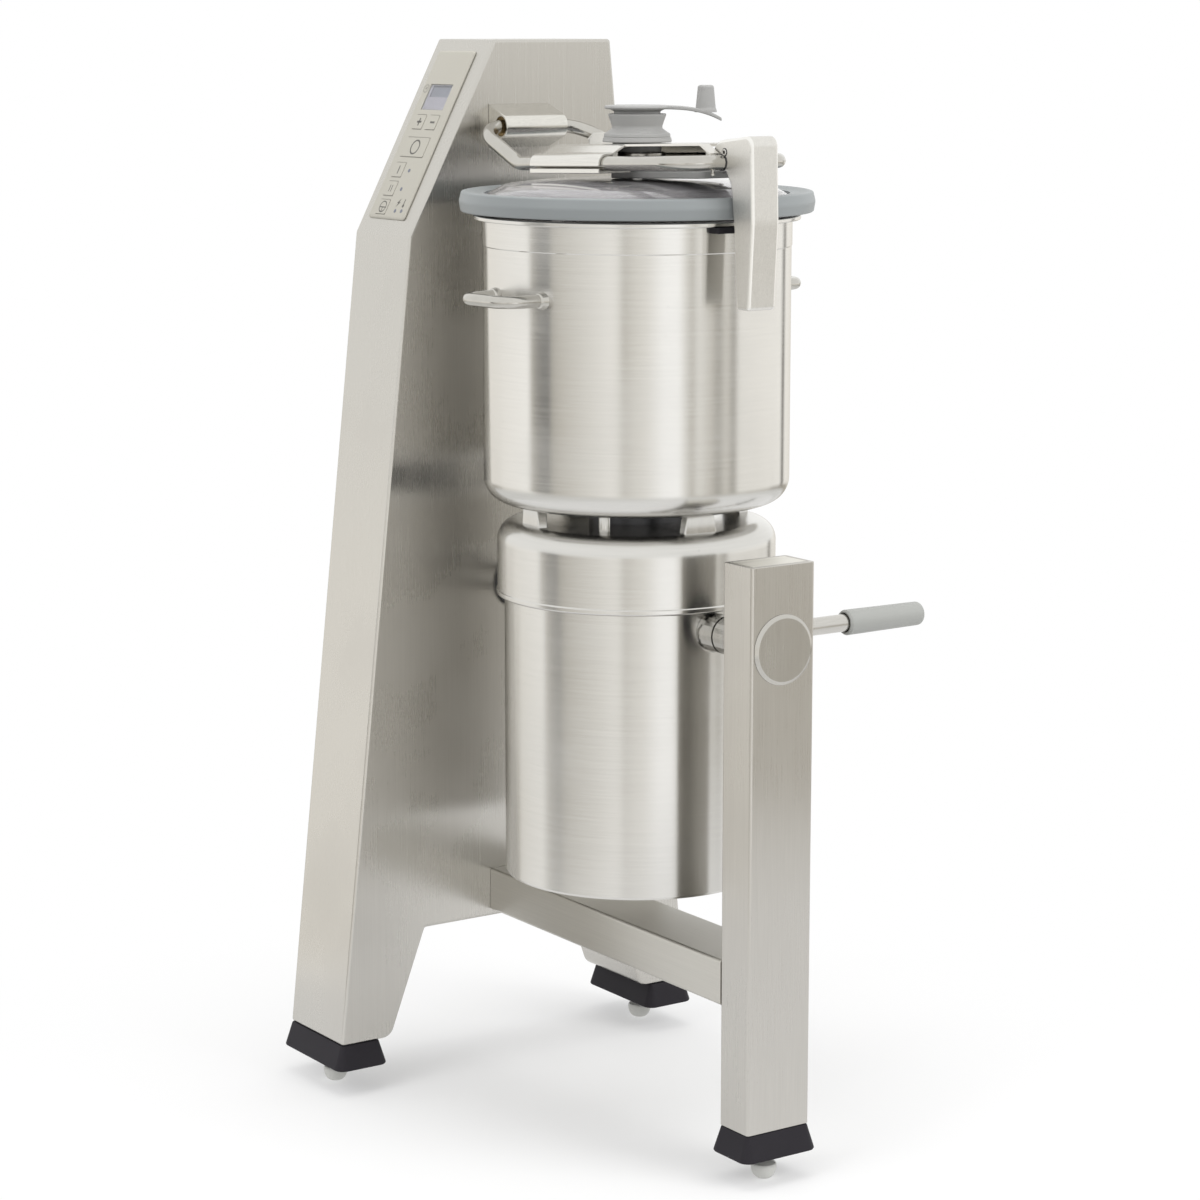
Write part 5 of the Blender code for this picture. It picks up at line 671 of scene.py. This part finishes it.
dress(bright, "spacer_left", "spacer_right", "trunnion_left", "trunnion_right")
low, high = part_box("tilt_lever_rod")
lever_axis = ((low.x + high.x) / 2, axis_y, tilt_z)
corners = [
    (0, 0.1853, 0), (0.01, 0.1853, 0.001), (0.01, 0.0343, 0.0008), (0.013, 0.0333, 0.0008),
    (0.013, 0.0213, 0.0008), (0, 0.0213, 0),
]
lever = turned(rounded(corners, closed=False, steps=4), lever_axis, "y", 64)
lever_steel = steel("lever_steel", (0.59, 0.575, 0.545), 0.24, "y", 700, 30, spreading=0.4)
show("lever_skin", [lever], "tilt_unit", lever_steel, "tilt_lever_rod")
grip_grey = moulded("grip_grey", (0.35, 0.355, 0.338), 0.42, fleck=0.05, relief=0.2)
corners = [
    (0, 0.262, 0), (0.0135, 0.262, 0.005), (0.0145, 0.1555, 0.0012), (0.0128, 0.153, 0.0008),
    (0.011, 0.153, 0.0008), (0.0103, 0.16, 0.0008), (0.0103, 0.195, 0), (0, 0.195, 0),
]
grip = turned(rounded(corners, closed=False, steps=10), lever_axis, "y", 64)
show("grip_skin", [grip], "grip", grip_grey, "lever_grip")


# The bowl: deep-drawn steel, brushed round and round, with a rolled flange welded on a little below
# the rim, a rounded foot and the tube in its middle that the blade shaft comes up through.

bowl_steel = steel("bowl_steel", (0.68, 0.67, 0.645), 0.17, "round", 1500, 14, 0.88, 0.4)
low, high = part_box("bowl")
rim, foot = high.z, low.z
wall, lower = 0.1746, 0.1738
flange = (high.y - low.y) / 2
weld = rim - 0.0345
corners = [
    (lower - 0.0025, rim, 0), (flange, rim, 0.0012), (flange, rim - 0.005, 0.0012),
    (wall, rim - 0.005, 0.0012), (wall, weld + 0.001, 0.0005), (lower, weld, 0.0005),
    (lower, foot, 0.028), (0.02, foot, 0), (0.02, foot + 0.116, 0.001), (0.026, foot + 0.116, 0.001),
    (0.026, foot + 0.004, 0.004), (lower - 0.0025, foot + 0.004, 0.0255),
]
bowl_grid = turned(rounded(corners, steps=16), steps=360)
show("bowl_skin", [bowl_grid], "tilt_unit", bowl_steel, "bowl", ring=True)


# The bowl's handles: bent steel rod, polished, each end welded to the wall through a small flared
# collar. The latch keeper under the rim is shown black as painted shade for the shadow in its recess.


def swept(path, radius, closed=False):
    """A round rod along a path: at each point a circle is drawn in the plane across the path, spanned
    by the level direction and the one at right angles to it."""
    ahead = np.roll(path, -1, 0) - path
    behind = path - np.roll(path, 1, 0)
    if not closed:
        ahead[-1] = behind[-1]
        behind[0] = ahead[0]
    along = unit(unit(ahead) + unit(behind))
    level = unit(np.cross(along, (0.0, 0.0, 1.0)))
    across, up = circle(radius, steps=32).T[:, :, None]
    return path[:, None] + level[:, None] * across + np.cross(level, along)[:, None] * up


def stood(point, degrees, axis="Z"):
    """The place of a piece that is turned about an axis and then moved to a point."""
    return Matrix.Translation(point) @ Matrix.Rotation(math.radians(degrees), 4, axis)


rod_steel = steel("rod_steel", (0.54, 0.525, 0.49), 0.17, "z", 60, 60, spreading=0.0, contrast=0.5)
half, reach = 0.041, 0.2176
corners = [(-half, 0.166, 0), (-half, reach, 0), (half, reach, 0), (half, 0.166, 0)]
path = rounded(corners, 0.024, closed=False, steps=14)
seat = math.sqrt(lower**2 - half**2)
collar = [(0.0068, seat + 0.006, 0), (0.0085, seat + 0.0045, 0.002), (0.0105, seat - 0.003, 0.001)]
collar = rounded([*collar, (0.0068, seat - 0.006, 0)], closed=False, steps=5)
collars = [turned(collar, (x, 0, 0), "y", 40) for x in (-half, half)]
for name, degrees in (("bowl_handle_front", 185), ("bowl_handle_rear", 5)):
    place = stood((axis_x, axis_y, rim - 0.086), degrees)
    show(name + "_skin", [swept(path, 0.007)], "tilt_unit", rod_steel, name, place)
    show(name + "_collars", collars, "tilt_unit", rod_steel, place=place)
# The keeper takes the black rubber as painted shade for its shadowed recess.
dress(rubber, "latch_keeper")


# The cutting tool: three ground steel blades on a turned hub that slips over the drive shaft, held by
# a turned cap.

blade_steel = steel("blade_steel", (0.6, 0.59, 0.565), 0.15, "x", 900, 40, spreading=0.4)
dress(blade_steel, "blade_1", "blade_2", "blade_3", "drive_shaft")
dress(bright, "blade_hub", "blade_cap")


# The lid's yoke: one bent stainless rod, with its hinge end through the housing on the column, and the
# formed saddle and strap sheets welded over its two arms.

lean = math.radians(2)
arm = stood((hinge_x, axis_y + 0.0035, hinge_z), -2, "Y")
yoke_half, drop, knee = 0.0755, 0.042, 0.089
yoke_x = (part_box("lid_yoke")[1].x - 0.008 - hinge_x - drop * math.sin(lean)) / math.cos(lean)
corners = [
    (0, yoke_half, 0), (0, -yoke_half, 0), (knee, -yoke_half, -drop), (yoke_x, -yoke_half, -drop),
    (yoke_x, yoke_half, -drop), (knee, yoke_half, -drop),
]
path = rounded(corners, [0.04, 0.04, 0.04, 0.042, 0.042, 0.04], steps=14)
show("yoke_skin", [swept(path, 0.008, closed=True)], "lid_arm", rod_steel, "lid_yoke", arm, ring=True)
sheet_steel = steel("sheet_steel", (0.74, 0.725, 0.69), 0.22, "x", 900, 20, spreading=0.6, contrast=0.6)

sheet, wrap = 0.0028, 0.0083
lid_x, lid_y = axis_x - hinge_x, -0.0035
back_end, front_end = lid_x - 0.0945, lid_x + 0.0435
flat_z = -0.0215 - sheet
left = [
    (-yoke_half - wrap, -drop - 0.0022), *arc((-yoke_half, -drop), wrap, 180, 78),
    (-0.0665, -drop + wrap + 0.0005), (-0.05, flat_z),
]
bends = [0] * 15 + [0.012, 0.014]
fold = rounded(left + [(-y, z) for y, z in left[::-1]], bends + bends[::-1], closed=False)
outline = np.concatenate([fold, (fold + sideways(fold) * sheet)[::-1]])
saddle = skin("saddle_skin", prism(outline, back_end, front_end, 0.0005, "yz", 3), sharp=40)
skirt_low, skirt_high = -drop - wrap - 0.0025, -drop - wrap
span = yoke_half + wrap + sheet / 2
back, front, throat = back_end + sheet, front_end - sheet, lid_x - 0.038
skirt = [(back, -span), (front, -span), (front, -0.0415), (throat, -0.0415), (throat, 0.0345)]
skirt = np.array([*skirt, (front, 0.0345), (front, span), (back, span)])
plates = [prism(skirt, skirt_low, skirt_high, 0.0003, steps=2)]
web = [(0.0602, skirt_high - 0.0007), (0.0669, skirt_high - 0.0007), (0.0669, -0.0327), (0.0602, -0.0292)]
for side in (-1, 1):
    inner = side * (yoke_half + wrap)
    flange = rounded(oblong(inner, skirt_low, inner + side * sheet, -0.0474), 0.0009, steps=4)
    plates.append(prism(flange, back_end, front_end, 0.0005, "yz", 3))
    plates.append(prism(np.array(web) * (side, 1), front_end - 0.0025, front_end - 0.0002, 0.0003, "yz", 2))
tab = [
    (-0.0075, flat_z + 0.0014, 0), (0.0285, flat_z + 0.0014, 0), (0.0285, -0.0153, 0.003),
    (0.0223, -0.009, 0.003), (-0.0013, -0.009, 0.003), (-0.0075, -0.0153, 0.003),
]
plates.append(prism(rounded(tab, steps=5), back_end + sheet / 2, back_end + sheet * 1.5, 0.0004, "yz", 2))
neck_hole = turned(oblong(0, -0.035, 0.0278, 0), (lid_x, lid_y, 0), steps=64)
saddle = cut_away(saddle, skin("neck_hole", neck_hole), sharp=40)
show("saddle_skin", saddle, "lid_arm", sheet_steel, "lid_saddle", arm)
show("saddle_plates", plates, "lid_arm", sheet_steel, place=arm, sharp=40)

middle, bar = flat_z + sheet / 2, yoke_x - 0.022
path = [(front_end + 0.0003, middle), (bar, middle), *arc((yoke_x, -drop), wrap + sheet / 2, 115, 0)]
path = rounded(path, [0, 0.008] + [0] * 14, closed=False)[:, None]
normal = sideways(path[:, 0])[:, None]
taper = np.clip((path[:, :, 0] - front_end) / (bar - front_end), 0, 1)
section = rounded(oblong(-1, -1, 1, 1), 0.3, steps=4)
offset = section[:, 1] * sheet / 2
breadth = np.sign(section[:, 0]) * (0.048 - 0.017 * taper - (1 - np.abs(section[:, 0])) * sheet / 2)
level, upright = path[:, :, 0] + normal[:, :, 0] * offset, path[:, :, 1] + normal[:, :, 1] * offset
strap = skin("strap_skin", np.stack([level, breadth + lid_y, upright], -1))
beyond = yoke_x + 0.018
fork = slab(oblong(yoke_x - 0.021, -0.023, beyond, 0.016), -0.045, 0.002)
end = slab(oblong(yoke_x - 0.0035, -0.06, beyond, 0.06), -0.055, 0.002)
strap = cut_away(strap, skin("fork_gap", fork), skin("strap_end", end))
show("strap_skin", strap, "lid_arm", sheet_steel, "lid_strap", arm)
pin = [(0, -0.0022), *arc((0, 0), 0.0022, -80, 52), (0.0012, 0.0085), (0, 0.0085)]
show("ball_pin", [turned(pin, (0.236, -0.0315, 1.1095), steps=32)], "lid_arm", rod_steel, sharp=60)


# The lid: a clear pressed plastic dome, held in a grey moulded ring, with a black seal pushed into the
# ring's underside.

lid_clear = clear("lid_clear", (0.8, 0.785, 0.8), 0.06, clearness=0.74, streaks=0.55)
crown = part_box("lid_dome")[1].z
gauge = 0.003
share = np.linspace(0, 1, 24)
sloping = np.stack([0.06 + 0.09 * share, crown - 0.0065 * share**2], -1)
outside = [(0.0095, crown), (0.058, crown), *sloping]
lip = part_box("lid_rim")[1].z - 0.006
outside += [(0.1682, lip + 0.0022), (0.17, lip), (0.18, lip)]
inside = [(0.18, lip - gauge), (0.167, lip - gauge), (0.164, lip)]
inside += [(r - 0.001, h - gauge) for r, h in outside[25:0:-1]] + [(0.0095, crown - gauge)]
show("dome_skin", [turned(outside + inside, steps=288)], "lid_arm", lid_clear, "lid_dome", ring=True)
ring_grey = moulded("ring_grey", (0.25, 0.268, 0.272), 0.36, fleck=0.05, grain=1200.0, relief=0.05)
low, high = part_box("lid_rim")
top, outer = high.z, (high.y - low.y) / 2
corners = [
    (0.1715, top - 0.0029, 0), (0.1772, top - 0.0043, 0.001), (0.1832, top - 0.0029, 0.0015),
    (0.1917, top, 0.004), (outer - 0.0026, top - 0.001, 0.0025), (outer, top - 0.0118, 0.01),
    (outer - 0.0018, low.z + 0.0012, 0.0012), (outer - 0.0034, low.z, 0.001), (0.1803, low.z, 0.0005),
    (0.1803, top - 0.0057, 0), (0.1715, top - 0.0057, 0),
]
show("rim_skin", [turned(rounded(corners), steps=360)], "lid_arm", ring_grey, "lid_rim", ring=True)
seal_black = moulded("seal_black", (0.02, 0.02, 0.021), 0.45, fleck=0.2)
low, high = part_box("lid_gasket")
seal = rounded(oblong(0.1725, low.z, 0.18, high.z), [0.002, 0.0012, 0.0004, 0.0004], steps=5)
seal = turned(seal, steps=288)
show("gasket_skin", [seal], "lid_arm", seal_black, "lid_gasket", ring=True)


# The middle of the lid: the grey boss under the saddle, a bright clamp ring round its neck, and the
# waisted wiper housing on top, which the crank turns in.

tower_grey = moulded("tower_grey", (0.34, 0.338, 0.33), 0.4, fleck=0.04, grain=1300.0, relief=0.06)
half, length = 0.03, 0.16
square = rounded(oblong(0, -half, length, half), [0, 0.008, 0.008, 0])
outline = np.concatenate([arc((0, 0), half, 90, 270, 30), square[1:-1]]) + (lid_x, lid_y)
boss_low = (crown + 0.0003 - hinge_z - (lid_x - half) * math.sin(lean)) / math.cos(lean)
boss = prism(outline, boss_low, boss_low + 0.0078, 0.0012, steps=4)
show("boss_skin", [boss], "lid_arm", tower_grey, "lid_boss", arm)
low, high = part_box("clamp_ring")
base, rim_top = (corner.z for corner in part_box("wiper_housing"))
neck = [
    (0, crown + 0.004), (0.0275, crown + 0.004), (0.0275, low.z - 0.0003), (0.0249, low.z - 0.0003),
    (0.0249, high.z + 0.0003), (0.0275, high.z + 0.0003), (0.0275, base - 0.0002), (0, base - 0.0002),
]
show("boss_neck", [turned(neck, steps=96)], "lid_arm", tower_grey)
clamp = rounded(oblong(0.0252, low.z, 0.0325, high.z), [0, 0.002, 0.002, 0], steps=6)
clamp = turned(clamp, steps=128)
show("clamp_skin", [clamp], "lid_arm", rod_steel, "clamp_ring", ring=True)
tall = rim_top - base
corners = [
    (0.0265, tall, 0.0003), (0.0325, tall, 0.0008), (0.0322, tall - 0.0022, 0.0008),
    (0.0283, 0.0178, 0.004), (0.0283, 0.015, 0.002), (0.0345, 0.0105, 0.003), (0.0369, 0.0092, 0.0015),
    (0.0374, 0.0062, 0.0006), (0.037, 0.0058, 0.0003), (0.037, 0.0052, 0.0003), (0.038, 0.0048, 0.0004),
    (0.0389, 0.001, 0.0008), (0.0384, 0, 0.0003), (0.0065, 0, 0), (0.0065, tall - 0.002, 0),
]
tower = turned(rounded([*corners, (0.0265, tall - 0.002, 0.0003)], steps=6), (axis_x, axis_y, base))
show("tower_skin", [tower], "lid_arm", tower_grey, "wiper_housing", ring=True)
mark = turned(arc((0, 0), 1, 0, 90, 7), (0, 0, 0), steps=48) * (0.0028, 0.0075, 0.0008)
mark[:, :, 2] -= 9.4 * mark[:, :, 1] ** 2 + 0.0002
place = stood((axis_x, axis_y, base + 0.0121), -22) @ stood((0.0323, 0, 0), 36, "Y")
show("tower_mark", [mark], "lid_arm", tower_grey, place=place)


# The wiper: a moulded crank with a dished disc, a curved arm and a tapered knob. Its shaft carries the
# bar and rubber lip that wipe the inside of the dome.


def droop(x):
    """How far the crank's arm has curved down at a distance from the axis."""
    return 0.0135 * np.clip((x - 0.0185) / 0.076, 0, None) ** 3.2


disc_low, disc_top = rim_top + 0.0003, 0.009
crank_place = stood((axis_x, axis_y, disc_low), 55.8)
corners = [
    (0, -0.0012, 0), (0.0258, -0.0012, 0.0004), (0.0262, 0.0024, 0.001), (0.03, 0.0042, 0.003),
    (0.0352, 0.005, 0.001), (0.037, 0.0064, 0.0005), (0.0362, 0.0084, 0.001),
    (0.033, disc_top, 0.003), (0, disc_top, 0),
]
disc = turned(rounded(corners, closed=False, steps=6), (0, 0, 0), steps=128)
side_x = np.linspace(0.01, 0.081, 30)
side = np.stack([side_x, 0.015 - 0.003 * (side_x - 0.0123) / 0.07], -1)
outline = np.concatenate([side * (1, -1), arc((0.0825, 0), 0.012, -90, 90, 24), side[::-1]])
crank_arm = prism(outline, -0.004, 0, 0.0012, steps=4)
crank_arm[:, :, 2] += disc_top - 0.0003 - droop(crank_arm[:, :, 0])
knob_x = 0.0765
knob_foot, knob_top = disc_top - droop(knob_x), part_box("wiper_crank")[1].z - disc_low
corners = [
    (0, knob_foot - 0.002, 0), (0.0125, knob_foot - 0.002, 0), (0.0122, knob_foot + 0.0005, 0.001),
    (0.0112, knob_foot + 0.003, 0.003), (0.0088, knob_top, 0.003), (0, knob_top, 0),
]
knob = turned(rounded(corners, closed=False), (knob_x, 0, 0), steps=64)
show("crank_skin", [disc, knob], "wiper", tower_grey, "wiper_crank", crank_place, sharp=40)
show("crank_arm", [crank_arm], "wiper", tower_grey, place=crank_place)
dress(bright, "wiper_shaft")
dress(tower_grey, "wiper_bar")
dress(seal_black, "wiper_lip")


# The latch: one investment-cast handle that swings on the crossbar, blasted to a fine satin. Its rounded
# edges are smoother and polished, and lighter in colour as a painted highlight along them.

latch_x, latch_z = 0.2342, 1.1222
corners = [
    (0, 0.024, 0), (0.0525, 0.03, 0.011), (0.0555, -0.062, 0.1), (0.0495, -0.156, 0.0045),
    (0.027, -0.156, 0.0045), (0.0205, -0.069, 0.15), (0.015, -0.024, 0.012), (0.006, -0.0109, 0),
]
outline = [*rounded(corners, closed=False, steps=12), *arc((0, 0.006), 0.018, 265, 112, 24)]
low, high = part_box("latch_handle")
latch_steel = steel("latch_steel", (0.75, 0.735, 0.7), 0.36, "z", 900, 500, spreading=0.1, contrast=0.9)
latch_grid = prism(np.array(outline) + (latch_x, latch_z), low.y, high.y, 0.0036, "xz", 8)
latch = show("latch_skin", [latch_grid], "latch", latch_steel, "latch_handle", sharp=50)
# The rounded edges take a lighter steel: a painted highlight for the bright line along them, with a polished
# gloss.
latch.materials.append(steel("latch_polish_painted_highlight", (0.88, 0.87, 0.84), 0.3, "z", 900, 500, 0.0, 0.4))
normals = np.empty(len(latch.polygons) * 3)
latch.polygons.foreach_get("normal", normals)
facing = np.abs(normals[1::3])
latch.polygons.foreach_set("material_index", ((facing > 0.25) & (facing < 0.97)).astype(np.int32))
latch.update()
cheek = (0.2387, low.y - 0.0002, 1.1331)
head = [(0, 0.001, 0), (0.0036, 0.001, 0), (0.0036, -0.0009, 0.0005), (0.0019, -0.0009, 0.0002)]
head = rounded([*head, (0.0019, 0.0003, 0), (0, 0.0003, 0)], closed=False, steps=4)
show("latch_screw", [turned(head, cheek, "y", 36)], "latch", bright, sharp=45)
# A dark ring round the screw head and a dark disc in its socket are painted shade in these recesses.
socket = turned(oblong(0, 0.0002, 0.00185, 0.0004), cheek, "y", 36)
seat = turned(oblong(0.0038, 0, 0.0046, 0.0006), cheek, "y", 36)
show("screw_seat_painted_shade", [seat, socket], "latch", dark_steel_and_painted_shade, ring=True)
# A dark ring on the cheek round the crossbar is painted shade in the gap where the rod enters the latch.
gap_shade = turned(oblong(0.0081, -0.0004, 0.0093, 0.0004), (latch_x, low.y, latch_z), "y", 48)
show("latch_gap_painted_shade", [gap_shade], "latch", dark_steel_and_painted_shade, ring=True)


# The studio: a pale floor and white surroundings. Reflections see a white room with a few soft grey
# panels, which draw the upright bands on the round steel.

floor = bpy.data.meshes.new("floor")
floor.from_pydata(raised(circle(1.5, (0.35, 0.25), 96), 0).tolist(), [], [list(range(96))])
floor_piece = placed("floor", floor)
material, graph, shader, place = new_material("floor_white")
graph.put(shader, {"Base Color": (0.86, 0.86, 0.86, 1), "Roughness": 0.9, "Specular IOR Level": 0.0})
away = graph.spread(graph.add("VectorMath", [place], "Value", operation="LENGTH"), -0.15, 0.95)
matt, glow = graph.tree.nodes["Principled BSDF"].outputs[0], graph.add("Emission", {"Strength": 1.0})
surface = graph.add("MixShader", [away, matt, glow])
graph.put(graph.tree.nodes["Material Output"].inputs, {"Surface": surface})
floor.materials.append(material)

world = bpy.data.worlds.new("studio")
bpy.context.scene.world = world
world.use_nodes = True
world.node_tree.nodes.clear()
graph = Graph(world.node_tree)
rays = graph.add("LightPath", out=None)
x, y, z = graph.add("SeparateXYZ", [graph.add("TexCoord", out="Generated")], None)
from_camera = graph.maths("ADD", graph.maths("ARCTAN2", y, x), math.radians(34.9 + 180))
bearing = graph.maths("FRACT", graph.maths("DIVIDE", from_camera, 2 * math.pi))


def panels(stops):
    """Walls round the room: the level of grey against the bearing from the camera, in degrees. Darker
    walls are a little warmer."""
    colour = graph.add("ValToRGB", [bearing])
    steps = colour.node.color_ramp.elements
    for index, (degrees, level) in enumerate(stops):
        position = (degrees + 180) / 360
        step = steps[index] if index < 2 else steps.new(position)
        step.position = position
        dim = max(0, 1 - level)
        step.color = (level * (1 + 0.1 * dim), level, level * (1 - 0.2 * dim), 1)
    return colour


upper_walls = [
    (-180, 0.2), (180, 0.4), (-152, 0.22), (-146, 0.66), (-88, 0.88), (-84, 0.26), (-78, 0.06),
    (-69, 0.0), (-65, 0.3), (-58, 0.42), (-20, 0.8), (-15, 0.76), (-9, 0.34), (-3, 0.5), (8, 0.68),
    (20, 0.97), (31, 1.0), (36, 0.66), (41, 0.36), (47, 0.78), (57, 0.48), (63, 0.2), (70, 0.58),
    (77, 0.16), (82, 0.8), (136, 0.8), (142, 0.05), (147, 0.74),
]
lower_walls = [
    (-180, 0.12), (180, 0.3), (-140, 0.16), (-124, 0.34), (-121, 0.56), (-84, 0.76), (-79, 0.54),
    (-65, 0.32), (-30, 0.58), (-15, 0.74), (5, 0.78), (20, 1.05), (33, 1.08), (42, 0.4), (65, 0.3),
    (80, 0.4), (120, 0.42), (124, 0.22),
]
walls = graph.blend(graph.spread(z, -0.172, -0.215), panels(upper_walls), panels(lower_walls))
walls = graph.blend(graph.spread(z, -0.245, -0.305), walls, (0.56, 0.56, 0.55))
room = graph.blend(graph.spread(z, -0.055, 0.015), walls, (0.74, 0.74, 0.73))
reflected = graph.add("Background", {"Color": room, "Strength": 1.5})
soft = graph.add("Background", {"Color": (1, 1, 1, 1), "Strength": 0.72})
seen = graph.add("Background", {"Color": (1, 1, 1, 1)})
lit = graph.add("MixShader", [rays["Is Glossy Ray"], soft, reflected])
through = graph.maths("MAXIMUM", rays["Is Camera Ray"], rays["Is Transmission Ray"])
graph.add("OutputWorld", {"Surface": graph.add("MixShader", [through, lit, seen])}, None)

for name, spot, aimed_height, size, power in (
    ("lamp_left", (0.4, -3.4, 3.2), 0.5, 2.4, 48),
    ("lamp_right", (3.2, 1.4, 2.6), 0.6, 2.0, 68),
    ("lamp_above", (0.0, 0.0, 4.0), 0.0, 3.2, 52),
):
    light = bpy.data.lights.new(name, "AREA")
    light.size = size
    light.energy = power
    lamp = placed(name, light)
    lamp.location = spot
    aim = np.array((0, 0, aimed_height)) - spot
    fall = math.acos(-aim[2] / np.linalg.norm(aim))
    lamp.rotation_euler = (fall, 0, math.atan2(aim[1], aim[0]) - math.pi / 2)
    lamp.visible_glossy = False

optics = bpy.data.cameras.new("camera")
optics.lens = 96.5
optics.shift_y = -0.0025
camera = placed("camera", optics)
camera.location = (3.0295, -2.0769, 1.271)
camera.rotation_euler = (math.radians(90 - 10.15), 0, math.radians(55.78))
bpy.context.scene.camera = camera
bpy.context.scene.view_settings.view_transform = "Standard"
